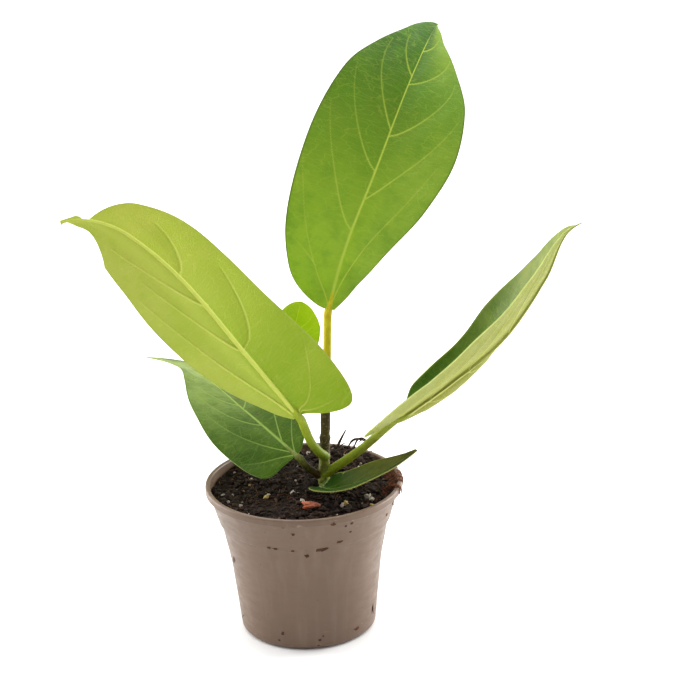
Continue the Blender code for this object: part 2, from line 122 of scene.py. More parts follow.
# Each leaf, left and right being seen from the base with the upper face up:
# stalk and rib   the stalk's and the midrib's points, from the stem's foot
# up              the direction that the upper face looks in, from base to tip
# left and right  the half-widths in millimetres, at SHARES[1:]
# fold and curl   the angle at which each half leaves the midrib and how much further it turns
# lobe            how far each basal lobe reaches back, as a share of the half-width
# lobe_power      how late the lobe gathers its reach on the way out to the margin
# grain           the faces along and across the blade
# relief, shine   how strong the veins' relief and the upper face's gloss are
# dusty           whether specks of soil lie on the upper face
# wave            height in millimetres, waves along the margin, and phase
# veins           start share, start reach, end share, end reach (left below zero), and bow
# upper, under    the colours of each face: base, tip, right side (painted light: the tone that the light gives that half), shade, vein and margin
# rough           the roughness of the upper face and of the underside
LIKE_MOST = {
    "curl": ((0, 0), (0, 0)),
    "lobe_power": 2.0,
    "relief": 1.0,
    "shine": 0.2,
    "dusty": False,
}
LEAVES = {
    "top": {
        "stalk": ((0.0033, 0.002, 0.0574), (0.0041, 0.0095, 0.0694), (0.0051, 0.0115, 0.0834)),
        "rib": (
            (0.0070, 0.012, 0.1089), (0.0187, 0.010, 0.1494), (0.0367, 0.018, 0.1909),
            (0.0602, 0.044, 0.2404), (0.0782, 0.086, 0.2629),
        ),
        "up": ((0, -1, 0.15), (0, -1, 0.25), (0, -0.8, 0.6)),
        "left": (16, 30, 41, 46, 46, 40, 28, 18, 11, 1.5),
        "right": (8, 15, 26, 37, 43, 38, 24, 12, 5, 1.2),
        "fold": ((10, 10, 4), (10, 10, 4)),
        "lobe": (0.25, 0.1),
        "stalk_radius": 0.0025,
        "rib_depth": 0.0030,
        "grain": (256, 172),
        "wave": (0.9, 4.0, 0.4),
        "veins": (
            (0.0, 0.0, 0.42, -0.97, 0.62), (0.13, -0.46, 0.20, -0.86, 1.2),
            (0.26, 0.0, 0.60, -0.90, 0.70), (0.45, 0.0, 0.73, -0.88, 0.75),
            (0.58, 0.0, 0.86, -0.84, 0.92), (0.76, 0.0, 0.91, -0.66, 0.90),
            (0.0, 0.1, 0.52, 0.80, 0.80), (0.36, 0.0, 0.67, 0.92, 0.85), (0.56, 0.0, 0.78, 0.88, 0.75),
            (0.73, 0.0, 0.86, 0.95, 0.80), (0.86, 0.0, 0.94, 0.80, 0.80),
        ),
        "upper": ("8CAB22", "245002", "7E9A2C", "4E7A0C", "AEC046", "4A5E1C"),
        "under": ("9CAC4C", "869A3C", "9CAC4C", "86983C", "C4CC7C", "84944A"),
        "rough": (0.5, 0.6),
    },
    "left": {
        "stalk": ((0.0011, 0.0, 0.0184), (-0.0063, -0.020, 0.0356)),
        "rib": (
            (-0.0133, -0.035, 0.0594), (-0.0438, -0.058, 0.1114), (-0.0768, -0.072, 0.1624),
            (-0.1058, -0.070, 0.1894), (-0.1253, -0.065, 0.1964), (-0.1438, -0.060, 0.1939),
        ),
        "up": ((-0.1, 0.95, -0.15), (-0.1, 0.95, -0.15), (0, 0.95, 0)),
        "left": (31, 36.5, 35, 32, 30, 27, 19, 5, 2.5, 1.5),
        "right": (8, 15, 25, 31, 33, 29.5, 23, 10, 3.5, 1.5),
        "fold": ((0, 15, 25, 30, 35), (10, 10, 5)),
        "lobe": (0.9, 0.2),
        "lobe_power": 0.8,
        "stalk_radius": 0.0026,
        "rib_depth": 0.0030,
        "grain": (256, 172),
        "relief": 0.8,
        "wave": (0.8, 3.0, 0.1),
        "veins": (
            (0.0, 0.0, 0.06, -0.85, 1.0), (0.0, 0.0, 0.21, -0.93, 0.90), (0.31, 0.0, 0.54, -0.74, 0.42),
            (0.62, 0.0, 0.76, -0.62, 0.55), (0.0, 0.3, 0.64, 0.84, 1.0), (0.31, 0.0, 0.68, 0.58, 0.70),
            (0.50, 0.0, 0.82, 0.55, 0.75),
        ),
        "upper": ("86A82E", "6C9220", "7FA32A", "5F8A1C", "B4C252", "55722A"),
        "under": ("809C14", "A8AE44", "AAB24C", "94A62E", "BEC65A", "9CA24C"),
        "rough": (0.5, 0.55),
    },
    "lower_left": {
        "stalk": ((-0.0001, 0.0, 0.0040), (-0.0090, -0.003, 0.0118)),
        "rib": (
            (-0.0158, -0.012, 0.0244), (-0.0478, 0.030, 0.0384), (-0.0773, 0.075, 0.0459),
            (-0.1108, 0.110, 0.0439),
        ),
        "up": ((-0.25, -0.45, 0.8), (0.1, 0, 0.9), (0.4, 0.2, 0.9), (0.3, 0.2, 0.9)),
        "left": (22, 31, 36, 33, 24.5, 14, 8.5, 5.5, 3, 1.2),
        "right": (12, 20, 28, 33, 32, 27, 19, 11, 5, 1.2),
        "fold": ((0, 0, 0), (15, 15, 5)),
        "lobe": (0.7, 0.3),
        "stalk_radius": 0.0022,
        "rib_depth": 0.0026,
        "grain": (230, 156),
        "shine": 0.05,
        "dusty": True,
        "wave": (0.6, 3.0, 0.3),
        "veins": (
            (0.0, 0.0, 0.13, -0.93, 0.80), (0.02, 0.0, 0.36, -0.80, 0.80),
            (0.22, 0.0, 0.48, -0.80, 0.80), (0.38, 0.0, 0.56, -0.80, 0.80),
            (0.60, 0.0, 0.74, -0.75, 0.80), (0.0, 0.0, 0.20, 0.85, 0.80), (0.09, 0.0, 0.42, 0.78, 0.80),
            (0.35, 0.0, 0.60, 0.80, 0.80), (0.58, 0.0, 0.76, 0.80, 0.80),
        ),
        "upper": ("3E5810", "808E50", "445C12", "183802", "849A4A", "3C5420"),
        "under": ("8E9E4C", "98A868", "8E9E4C", "7C8E3E", "B8C07C", "748440"),
        "rough": (0.48, 0.6),
    },
    "right": {
        "stalk": ((0.0002, 0.0, 0.0062), (0.0232, -0.002, 0.0224)),
        "rib": (
            (0.0477, -0.004, 0.0439), (0.0594, -0.003, 0.0514), (0.0747, 0.000, 0.0609),
            (0.1102, 0.004, 0.0889), (0.1365, 0.004, 0.1269), (0.1482, 0.004, 0.1529),
            (0.1587, 0.004, 0.1609),
        ),
        "up": ((-0.69, 0.24, 0.68), (-0.69, 0.24, 0.68), (-0.8, 0.2, 0.5)),
        "left": (26, 38, 43, 43, 38, 29, 20, 11, 4, 1.2),
        "right": (25, 32, 34.5, 36, 33, 25, 15, 7.5, 3, 1.2),
        "fold": ((-45, -55, -10, 12, 20), (9, 18, 20, 19, 25)),
        "curl": ((190, 165, 90, 60, 20), (0, 0, 0, 0, 0)),
        "lobe": (0.1, 1.05),
        "lobe_power": 0.55,
        "stalk_radius": 0.0026,
        "rib_depth": 0.0028,
        "grain": (230, 156),
        "relief": 0.3,
        "shine": 0.15,
        "wave": (0.6, 3.0, 0.7),
        "veins": (
            (0.0, 0.0, 0.34, -0.90, 0.80), (0.10, 0.0, 0.50, -0.88, 0.80),
            (0.28, 0.0, 0.65, -0.85, 0.80), (0.48, 0.0, 0.80, -0.80, 0.80),
            (0.68, 0.0, 0.90, -0.75, 0.80), (0.0, 0.1, 0.46, 0.88, 0.80), (0.12, 0.0, 0.62, 0.82, 0.80),
            (0.30, 0.0, 0.76, 0.80, 0.80), (0.50, 0.0, 0.86, 0.75, 0.80),
        ),
        "upper": ("4A6A1A", "868E48", "5E7C2C", "365812", "8EA050", "8A9852"),
        "under": ("848630", "585D20", "828838", "707927", "ACB05C", "BCC474"),
        "rough": (0.5, 0.6),
    },
    "low": {
        "stalk": ((0.0006, 0.0, 0.0036), (0.0012, -0.007, 0.0034)),
        "rib": (
            (-0.0003, -0.0145, 0.0036), (0.0077, -0.0250, 0.0075), (0.0227, -0.0260, 0.0125),
            (0.0397, -0.0220, 0.0190), (0.0567, -0.0140, 0.0262),
        ),
        "up": ((0, 0.05, 1), (0, 0.05, 1)),
        "left": (12, 15, 15.5, 16, 14.5, 11, 7, 4, 2.2, 1.2),
        "right": (9, 12, 14, 12, 8, 5.5, 4, 3, 2, 1.2),
        "fold": ((40, 16, 10, 8, 8), (12, 12, 10, 8, 8)),
        "lobe": (0.35, 0.4),
        "lobe_power": 0.6,
        "stalk_radius": 0.0014,
        "rib_depth": 0.0016,
        "grain": (130, 60),
        "relief": 0.8,
        "shine": 0.03,
        "dusty": True,
        "wave": (0.3, 2.0, 0.0),
        "veins": (
            (0.05, 0.0, 0.50, -0.75, 0.80), (0.35, 0.0, 0.76, -0.70, 0.80),
            (0.05, 0.0, 0.50, 0.75, 0.80), (0.35, 0.0, 0.76, 0.70, 0.80),
        ),
        "upper": ("183404", "5A5C1C", "1C3A05", "0C2000", "44561E", "A8A452"),
        "under": ("6F7F3A", "9A9050", "6F7F3A", "5A6E2A", "A0A860", "7C7C3C"),
        "rough": (0.35, 0.5),
    },
    "young": {
        "stalk": ((0.0027, 0.001, 0.0494), (-0.0050, -0.003, 0.0600)),
        "rib": (
            (-0.0150, -0.004, 0.0720), (-0.0160, -0.006, 0.0930), (-0.0128, -0.008, 0.1090),
            (-0.0090, -0.008, 0.1215),
        ),
        "up": ((0.3, -1, 0.3), (0.3, -1, 0.4)),
        "left": (5, 9, 13, 15, 16, 15.5, 13, 10, 6.5, 1.2),
        "right": (5, 9, 13, 15, 16, 15.5, 13, 10, 6.5, 1.2),
        "fold": ((25, 15), (25, 15)),
        "lobe": (0.1, 0.1),
        "stalk_radius": 0.0014,
        "rib_depth": 0.0014,
        "grain": (120, 72),
        "wave": (0.3, 2.0, 0.2),
        "veins": tuple(
            (start, 0.0, start + 0.32, side * 0.92, 0.85)
            for side in (-1, 1)
            for start in (0.02, 0.14, 0.26, 0.38, 0.50, 0.62)
        ),
        "upper": ("A0B80A", "A4BC08", "ACC40E", "94AE06", "C8D638", "98AC24"),
        "under": ("A6B83C", "A6B83C", "A6B83C", "98AA30", "CCD668", "98A440"),
        "rough": (0.5, 0.55),
    },
}
LEAVES = {key: {**LIKE_MOST, **leaf} for key, leaf in LEAVES.items()}

STEM_COURSE = ((0.0, 0.0, 0.0), (0.0011, 0.0, 0.0184), (0.0025, 0.001, 0.0424), (0.0035, 0.002, 0.0654))
STEM_SCARS = (0.0035, 0.0184, 0.0300, 0.0494, 0.0580)
STEM_RADIUS = 0.0034
STEM_TOP_RADIUS = 0.0027
STEM_BURIED = 0.0280

# Soil that stuck to the outside of the pot: angle in degrees, height, width and depth in millimetres.
POT_SPECKS = (
    (-102, 90.6, 2.0, 1.8), (-97, 84.8, 2.2, 2.4), (-73, 91.2, 3.2, 2.0), (-60, 87.9, 1.8, 2.0),
    (-64, 86.8, 1.4, 1.4), (-67, 75.7, 3.6, 1.6), (-79, 72.0, 6.5, 2.4), (-76, 72.6, 2.4, 1.6),
    (-114, 73.2, 2.6, 1.4), (-110, 72.8, 3.4, 1.2), (-98, 72.0, 2.0, 1.0), (-89, 67.7, 2.6, 2.0),
    (-112, 11.6, 1.8, 2.6), (-116, 6.0, 1.8, 1.2), (-81, 7.0, 2.0, 1.6), (-78, 9.5, 1.2, 1.2),
    (-82, 3.6, 1.6, 1.4), (-46, 8.4, 4.2, 2.2), (-60, 81.3, 1.4, 1.4), (-158, 53.0, 1.4, 7.0),
    (-22, 16.5, 1.5, 10.0), (-17, 85.9, 2.6, 4.0),
)

# Pale grains that show on the soil: x, y and size in millimetres.
PERLITE_PLACES = (
    (-49, -8, 2.6), (-43.5, -8.5, 2.2), (-1, -27, 3.0), (25.4, -32, 4.0), (23, -35, 2.8),
    (38.8, -22.8, 4.2), (41, -26, 3.0), (-38, -26, 2.2), (-22.8, -19, 3.4), (-6.5, -16, 3.6),
    (-2.3, 38.8, 2.6), (3.3, 39.9, 2.8), (-45.7, -18.5, 2.2), (41, -33, 2.2),
)

# ---- The stage ----
FLOOR_SIZE = 12.0
CAMERA_PLACE = (0.0299, -1.8342, 0.8963)
CAMERA_TILT = 68.682
CAMERA_ROLL = -2.0
CAMERA_LENS = 169.86


def paint(code):
    """A colour written as six hex digits, as the linear values that Blender's sockets take."""
    values = []
    for start in (0, 2, 4):
        level = int(code[start : start + 2], 16) / 255
        values.append(level / 12.92 if level <= 0.04045 else ((level + 0.055) / 1.055) ** 2.4)
    return tuple(values)


# ---- Settings ----


class FIG_LeafSettings(bpy.types.PropertyGroup):
    vein_sink: FloatProperty(
        name="Vein sink",
        description="How deep the side veins lie in the upper face",
        default=0.00035,
        unit="LENGTH",
    )
    quilting: FloatProperty(
        name="Quilting",
        description="How far the blade bulges between its veins",
        default=0.0007,
        unit="LENGTH",
    )
    vein_width: FloatProperty(
        name="Vein width",
        description="Half-width of a side vein where it leaves the midrib",
        default=0.00052,
        unit="LENGTH",
    )
    side_vein_depth: FloatProperty(
        name="Side vein depth",
        description="How far a side vein stands out underneath, as a share of the midrib",
        default=0.3,
        subtype="FACTOR",
    )


class FIG_SoilSettings(bpy.types.PropertyGroup):
    lump_height: FloatProperty(
        name="Lump height",
        description="Height of the soil's coarse lumps",
        default=0.0032,
        unit="LENGTH",
    )
    crumbs: IntProperty(name="Crumbs", description="Loose crumbs of peat", default=1100)
    chips: IntProperty(name="Bark chips", description="Chips of bark", default=90)
    perlite: IntProperty(name="Perlite", description="Scattered pale grains", default=34)
    fibres: IntProperty(name="Fibres", description="Fine dark fibres", default=110)
    seed: IntProperty(name="Seed", description="Seed of the scatter", default=11)
    colour: FloatVectorProperty(
        name="Soil", description="Moist peat", subtype="COLOR", default=paint("1E130A")
    )
    pale: FloatVectorProperty(
        name="Perlite colour", description="Pale grains", subtype="COLOR", default=paint("B4A698")
    )
    coir: FloatVectorProperty(
        name="Coir", description="Dry fibres at the rim", subtype="COLOR", default=paint("7E4C30")
    )


class FIG_PotSettings(bpy.types.PropertyGroup):
    colour: FloatVectorProperty(
        name="Plastic", description="Taupe plastic", subtype="COLOR", default=paint("665140")
    )
    scuff: FloatVectorProperty(
        name="Scuff", description="Pale scuffs", subtype="COLOR", default=paint("8C7868")
    )
    roughness: FloatProperty(
        name="Roughness", description="Roughness of the plastic", default=0.42, subtype="FACTOR"
    )


class FIG_StageSettings(bpy.types.PropertyGroup):
    floor_colour: FloatVectorProperty(
        name="Floor", description="Pale floor", subtype="COLOR", default=(0.93, 0.93, 0.93)
    )
    air: FloatProperty(name="Air", description="Strength of the even light", default=0.6)
    over: FloatProperty(
        name="Overhead", description="Power of the light overhead", default=24.0, unit="POWER"
    )
    key: FloatProperty(name="Key", description="Power of the key light", default=2.0, unit="POWER")
    side: FloatProperty(
        name="Sides", description="Power of each side light", default=14.0, unit="POWER"
    )


# ---- Materials ----


class Skin:
    """A procedural material in the making, with the colour that its layers give so far."""

    def __init__(self, name, colour):
        self.material = bpy.data.materials.new(name)
        self.material.use_nodes = True
        self.material.diffuse_color = (*colour, 1.0)
        self.tree = self.material.node_tree
        self.shader = self.tree.nodes["Principled BSDF"]
        self.place = self.node("TexCoord").outputs["Object"]
        self.colour = colour

    def node(self, kind, inputs=None, **settings):
        made = self.tree.nodes.new("ShaderNode" + kind)
        for key, value in settings.items():
            setattr(made, key, value)
        for key, value in (inputs or {}).items():
            self.feed(value, made.inputs[key])
        return made

    def feed(self, value, socket):
        if isinstance(value, bpy.types.NodeSocket):
            self.tree.links.new(value, socket)
        elif socket.type == "RGBA":
            socket.default_value = (*value, 1.0)
        else:
            socket.default_value = value

    def layer(self, factor, colour):
        """Lays this colour over the ones so far, fully where the factor is 1."""
        inputs = {0: factor, 6: self.colour, 7: colour}
        self.colour = self.node("Mix", inputs, data_type="RGBA").outputs[2]

    def ramp(self, value, low, high, to_low=0.0, to_high=1.0):
        span = {"Value": value, "From Min": low, "From Max": high}
        span.update({"To Min": to_low, "To Max": to_high})
        return self.node("MapRange", span, interpolation_type="SMOOTHSTEP").outputs[0]

    def computed(self, operation, first, second=0.0):
        return self.node("Math", {0: first, 1: second}, operation=operation).outputs[0]

    def times(self, first, second):
        return self.computed("MULTIPLY", first, second)

    def plus(self, first, second):
        return self.computed("ADD", first, second)

    def scaled(self, scale):
        return self.node("Mapping", {"Vector": self.place, "Scale": scale}).outputs[0]

    def grain(self, scale, detail=3.0, roughness=0.55, place=None):
        inputs = {"Vector": self.place if place is None else place, "Scale": scale}
        inputs.update({"Detail": detail, "Roughness": roughness})
        return self.node("TexNoise", inputs).outputs["Fac"]

    def dots(self, scale, low, high, strength):
        """Round dots, one to a cell at this scale, that fade out from low to high."""
        cells = self.node("TexVoronoi", {"Vector": self.place, "Scale": scale})
        return self.ramp(cells.outputs["Distance"], low, high, strength, 0.0)

    def net(self, place, scale, width):
        """The walls between the cells at this scale."""
        inputs = {"Vector": place, "Scale": scale}
        cells = self.node("TexVoronoi", inputs, feature="DISTANCE_TO_EDGE")
        return self.ramp(cells.outputs["Distance"], 0.0, width, 1.0, 0.0)

    def attribute(self, name):
        return self.node("Attribute", attribute_name=name).outputs["Fac"]

    def bump(self, height, strength, distance):
        inputs = {"Height": height, "Strength": strength, "Distance": distance}
        self.feed(self.node("Bump", inputs).outputs[0], self.shader.inputs["Normal"])

    def constant(self, name, value):
        self.shader.inputs[name].default_value = value

    def finished(self, roughness, shine):
        self.feed(self.colour, self.shader.inputs["Base Color"])
        self.feed(roughness, self.shader.inputs["Roughness"])
        self.constant("Specular IOR Level", shine)
        return self.material


def blade_material(name, paints, rough, shine, upper, dusty):
    """Leaf skin: a green that turns from base to tip, a painted light tone on the right half, a painted
    sheen beside the underside's midrib, pale veins, a fine net and a thin margin.
    """
    base, tip, side, shade, pale, margin = (paint(code) for code in paints)
    skin = Skin(name, base)
    reach = skin.attribute("reach")
    vein = skin.attribute("vein")
    skin.layer(skin.ramp(skin.attribute("share"), 0.02, 0.95), tip)
    # Painted light: the right half takes the tone that the light gives it, lighter on some leaves and
    # darker on others.
    skin.layer(skin.times(skin.ramp(reach, -0.05, 0.75), 0.75), side)
    skin.layer(skin.ramp(skin.grain(26.0, 4.0), 0.42, 0.72, 0.0, 0.6), shade)
    skin.layer(skin.ramp(skin.grain(140.0, 5.0), 0.4, 0.75, 0.0, 0.35), shade)

    sheet = skin.node("UVMap", uv_map="blade").outputs[0]
    wander = skin.node("TexNoise", {"Vector": sheet, "Scale": 14.0, "Detail": 2.0})
    bent = skin.node("VectorMath", {0: wander.outputs["Color"], "Scale": 0.03}, operation="SCALE")
    warped = skin.node("VectorMath", {0: sheet, 1: bent.outputs[0]}, operation="ADD").outputs[0]
    long = skin.node("Mapping", {"Vector": warped, "Scale": (0.55, 2.2, 1.0)}).outputs[0]
    rungs = skin.net(long, 16.0, 0.055)
    mesh = skin.net(warped, 62.0, 0.12)
    skin.layer(skin.times(rungs, 0.17), pale)
    skin.layer(skin.times(mesh, 0.07), pale)
    if not upper:
        # Painted sheen: a pale band just right of the midrib on the underside.
        painted_sheen_offset = skin.computed("ABSOLUTE", skin.computed("SUBTRACT", reach, 0.2))
        skin.layer(skin.ramp(painted_sheen_offset, 0.0, 0.26, 0.35, 0.0), pale)
    skin.layer(skin.ramp(vein, 0.02, 0.5, 0.0, 0.25), pale)
    skin.layer(skin.ramp(vein, 0.3, 0.85, 0.0, 0.85), pale)
    if dusty:
        where = skin.ramp(skin.grain(45.0), 0.46, 0.62)
        skin.layer(skin.times(skin.dots(330.0, 0.1, 0.24, 0.8), where), paint("3A2C1C"))
    edge = skin.computed("ABSOLUTE", reach)
    skin.layer(skin.ramp(edge, 0.965, 1.0, 0.0, 0.9), margin)

    lift = -0.6 if upper else 0.8
    height = skin.plus(skin.times(rungs, lift), skin.times(mesh, lift / 2))
    skin.bump(skin.plus(height, skin.grain(900.0, 2.0)), 0.35, 0.0004)
    skin.constant("Subsurface Weight", 0.12)
    skin.constant("Subsurface Radius", (0.6, 1.0, 0.2))
    skin.constant("Subsurface Scale", 0.0015)
    return skin.finished(skin.ramp(skin.grain(80.0), 0.3, 0.7, rough - 0.06, rough + 0.10), shine)


def stalk_material(name, foot, head, speck):
    """Fleshy skin that turns from foot to head, with fine length-wise streaks and corky specks."""
    skin = Skin(name, paint(head))
    skin.colour = paint(foot)
    skin.layer(skin.ramp(skin.attribute("share"), 0.05, 0.9), paint(head))
    patches = skin.ramp(skin.grain(110.0, 4.0), 0.38, 0.7, 0.0, 0.55)
    skin.layer(patches, paint(speck))
    streaks = skin.grain(900.0, 2.0, place=skin.scaled((1.0, 1.0, 0.12)))
    skin.layer(skin.ramp(streaks, 0.5, 0.75, 0.0, 0.4), paint(foot))
    cork = skin.dots(620.0, 0.12, 0.3, 0.6)
    skin.layer(cork, paint(speck))
    skin.bump(skin.plus(streaks, skin.times(cork, 1.5)), 0.5, 0.0003)
    skin.constant("Subsurface Weight", 0.08)
    skin.constant("Subsurface Scale", 0.001)
    return skin.finished(skin.ramp(patches, 0.0, 0.6, 0.42, 0.62), 0.15)


def bark_material(name):
    """Young bark: green at the foot, olive brown above, with grey corky flecks and rings."""
    skin = Skin(name, paint("4C4412"))
    skin.colour = paint("747C24")
    skin.layer(skin.ramp(skin.attribute("share"), 0.36, 0.46), paint("42380C"))
    patches = skin.ramp(skin.grain(160.0, 5.0), 0.4, 0.68)
    skin.layer(skin.times(patches, 0.6), paint("2E260C"))
    rings = skin.grain(520.0, 3.0, place=skin.scaled((0.25, 0.25, 1.6)))
    skin.layer(skin.ramp(rings, 0.55, 0.75, 0.0, 0.5), paint("6E6646"))
    cork = skin.dots(480.0, 0.12, 0.3, 0.65)
    skin.layer(cork, paint("7A7050"))
    skin.bump(skin.plus(rings, cork), 0.7, 0.0005)
    return skin.finished(0.72, 0.25)


def plastic_material(settings):
    """Moulded taupe plastic: a satin grain, faint flow marks, pale scuffs and dried-on soil."""
    skin = Skin("taupe plastic", tuple(settings.colour))
    skin.layer(skin.ramp(skin.grain(18.0, 4.0), 0.35, 0.7, 0.0, 0.35), paint("5C4A3E"))
    flow = skin.grain(140.0, 3.0, place=skin.scaled((1.0, 1.0, 0.05)))
    skin.layer(skin.ramp(flow, 0.45, 0.75, 0.0, 0.22), paint("7E6C5E"))
    scrape = skin.grain(90.0, 5.0, 0.7, place=skin.scaled((1.0, 1.0, 3.0)))
    height = skin.node("SeparateXYZ", {"Vector": skin.place}).outputs["Z"]
    high = skin.ramp(height, COLLAR_FOOT_HEIGHT, LIP_FOOT)
    low = skin.ramp(height, 0.004, 0.022, 1.0, 0.0)
    worn = skin.computed("MAXIMUM", high, low)
    scuffs = skin.times(skin.ramp(scrape, 0.60, 0.72, 0.0, 0.8), worn)
    skin.layer(scuffs, tuple(settings.scuff))
    dust = skin.times(skin.ramp(skin.grain(70.0, 6.0, 0.75), 0.58, 0.72), worn)
    skin.layer(skin.times(dust, 0.4), paint("6E4C3C"))
    where = skin.ramp(skin.grain(45.0, 2.0), 0.6, 0.66)
    skin.layer(skin.times(skin.dots(210.0, 0.07, 0.14, 0.85), where), paint("4A2E22"))
    skin.bump(skin.plus(skin.grain(1600.0, 2.0), skin.times(flow, 0.8)), 0.18, 0.0003)
    smoothest, roughest = settings.roughness - 0.05, settings.roughness + 0.18
    return skin.finished(skin.ramp(scrape, 0.3, 0.75, smoothest, roughest), 0.38)


def earth_material(name, dark, light, scale, rough=0.95):
    """Moist crumbly matter: dark and light grains at this scale, with a coarse bump."""
    skin = Skin(name, dark)
    skin.layer(skin.ramp(skin.grain(scale, 5.0, 0.65), 0.42, 0.70), light)
    deep = skin.ramp(skin.grain(scale * 4.5, 4.0, 0.6), 0.45, 0.65)
    skin.layer(skin.times(deep, 0.6), tuple(0.35 * c for c in dark))
    skin.bump(skin.grain(scale * 7.0, 5.0, 0.7), 0.8, 0.0008)
    return skin.finished(rough, 0.25)


def sheath_material():
    """Dried sheath: rusty, darker towards the tip, streaked across with dark and pale."""
    skin = Skin("dried sheath", paint("A04E28"))
    skin.colour = paint("A8542C")
    skin.layer(skin.ramp(skin.attribute("share"), 0.1, 0.9), paint("7A3A20"))
    streaks = skin.grain(1300.0, 3.0, place=skin.scaled((0.15, 1.0, 1.0)))
    skin.layer(skin.ramp(streaks, 0.45, 0.7, 0.0, 0.7), paint("5A2414"))
    skin.layer(skin.ramp(skin.grain(420.0, 4.0), 0.55, 0.7, 0.0, 0.6), paint("C88A5C"))
    skin.bump(streaks, 0.6, 0.0004)
    return skin.finished(0.6, 0.5)


def floor_material(settings):
    colour = tuple(settings.floor_colour)
    skin = Skin("pale floor", colour)
    skin.colour = tuple(0.985 * c for c in colour)
    skin.layer(skin.grain(30.0, 2.0), colour)
    return skin.finished(0.9, 0.1)


# ---- Smooth curves through a few points, as in the design ----


def hermite(keys, values, shares):
    """A smooth curve through the values at these keys, read at each share from 0 to 1."""
    values = np.asarray(values, float)
    slopes = np.empty_like(values)
    spans = (keys[2:] - keys[:-2]).reshape(-1, *[1] * (values.ndim - 1))
    slopes[1:-1] = (values[2:] - values[:-2]) / spans
    slopes[0] = 2 * (values[1] - values[0]) / (keys[1] - keys[0]) - slopes[1]
    slopes[-1] = 2 * (values[-1] - values[-2]) / (keys[-1] - keys[-2]) - slopes[-2]
    shares = np.clip(np.asarray(shares, float), 0, 1)
    low = np.clip(np.searchsorted(keys, shares, side="right") - 1, 0, len(keys) - 2)
    shape = (*shares.shape, *[1] * (values.ndim - 1))
    step = (keys[low + 1] - keys[low]).reshape(shape)
    t = (shares - keys[low]).reshape(shape) / step
    return (
        (2 * t**3 - 3 * t**2 + 1) * values[low]
        + (t**3 - 2 * t**2 + t) * step * slopes[low]
        + (3 * t**2 - 2 * t**3) * values[low + 1]
        + (t**3 - t**2) * step * slopes[low + 1]
    )


def course(points, shares):
    """Points along the smooth curve through these points, by share of its chords' length."""
    points = np.asarray(points, float)
    chords = np.linalg.norm(np.diff(points, axis=0), axis=1)
    keys = np.concatenate([[0.0], np.cumsum(chords)]) / chords.sum()
    return hermite(keys, points, shares)


def along(values, shares):
    """Values given at equal steps along the leaf, read at each share."""
    values = np.asarray(values, float)
    if len(values) == 2:
        return values[0] + (values[1] - values[0]) * shares.reshape(-1, *[1] * (values.ndim - 1))
    return hermite(np.linspace(0, 1, len(values)), values, shares)


def unit(vectors):
    return vectors / np.maximum(np.linalg.norm(vectors, axis=-1, keepdims=True), 1e-12)


def from_foot(points):
    return np.asarray(points, float) + np.array(STEM_FOOT)


# ---- Making meshes ----


def deselect_all():
    for obj in bpy.context.selected_objects:
        obj.select_set(False)


def make_active(obj):
    deselect_all()
    obj.select_set(True)
    bpy.context.view_layer.objects.active = obj


def apply_modifier(obj, kind, **settings):
    make_active(obj)
    modifier = obj.modifiers.new(kind.lower(), kind)
    for key, value in settings.items():
        setattr(modifier, key, value)
    bpy.ops.object.modifier_apply(modifier=modifier.name)


def smooth(obj, degrees=40.0):
    make_active(obj)
    bpy.ops.object.shade_smooth_by_angle(angle=math.radians(degrees))


def tidy_shell(obj):
    """Welds what meets and turns every face outwards."""
    make_active(obj)
    bpy.ops.object.mode_set(mode="EDIT")
    bpy.ops.mesh.select_all(action="SELECT")
    bpy.ops.mesh.remove_doubles(threshold=WELD)
    bpy.ops.mesh.normals_make_consistent(inside=False)
    bpy.ops.object.mode_set(mode="OBJECT")


def get_points(obj):
    points = np.empty(len(obj.data.vertices) * 3)
    obj.data.vertices.foreach_get("co", points)
    return points.reshape(-1, 3)


def set_points(obj, points):
    obj.data.vertices.foreach_set("co", np.asarray(points, np.float32).ravel())
    obj.data.update()


def put_attribute(obj, name, values):
    layer = obj.data.attributes.new(name, "FLOAT", "POINT")
    layer.data.foreach_set("value", np.asarray(values, np.float32))


def new_mesh(name, points, edges, faces):
    mesh = bpy.data.meshes.new(name)
    mesh.from_pydata([tuple(p) for p in points], edges, faces)
    mesh.update()
    obj = bpy.data.objects.new(name, mesh)
    bpy.context.scene.collection.objects.link(obj)
    return obj


def flat_grid(name, columns, rows):
    """A grid from -1 to 1 with this many faces each way, and its points."""
    deselect_all()
    bpy.ops.mesh.primitive_grid_add(x_subdivisions=columns, y_subdivisions=rows, size=2.0)
    obj = bpy.context.object
    obj.name = name
    return obj, get_points(obj)


def settle(obj, material=None, replaces=()):
    """The finished piece rides with the plant, and stands for these nodes of the design."""
    if material is not None:
        obj.data.materials.append(material)
    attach(obj, "root")
    if replaces:
        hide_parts(*replaces)
    return obj


def turned(name, profile, steps=TURN_STEPS):
    """A profile of (radius, height), from the axis up the inside and down the outside, turned."""
    points = [(radius, 0.0, height) for radius, height in profile]
    obj = new_mesh(name, points, [(i, i + 1) for i in range(len(points) - 1)], [])
    turns = {"steps": steps, "render_steps": steps}
    apply_modifier(obj, "SCREW", axis="Z", use_merge_vertices=True, merge_threshold=WELD, **turns)
    tidy_shell(obj)
    return obj


def add_tube(name, points, radii, sides=28):
    """A round tube with closed ends along these points, with its share from foot to head."""
    curve = bpy.data.curves.new(name, "CURVE")
    curve.dimensions = "3D"
    curve.bevel_depth = max(radii)
    curve.bevel_resolution = sides // 4 - 2
    curve.use_fill_caps = True
    spline = curve.splines.new("POLY")
    spline.points.add(len(points) - 1)
    for target, point, radius in zip(spline.points, points, radii):
        target.co = (*point, 1.0)
        target.radius = radius / max(radii)
    obj = bpy.data.objects.new(name, curve)
    bpy.context.scene.collection.objects.link(obj)
    make_active(obj)
    bpy.ops.object.convert(target="MESH")
    obj = bpy.context.object
    tidy_shell(obj)
    away = np.linalg.norm(get_points(obj)[:, None] - np.asarray(points, float)[None], axis=2)
    nearest = away.argmin(axis=1)
    put_attribute(obj, "share", nearest / (len(points) - 1))
    return obj


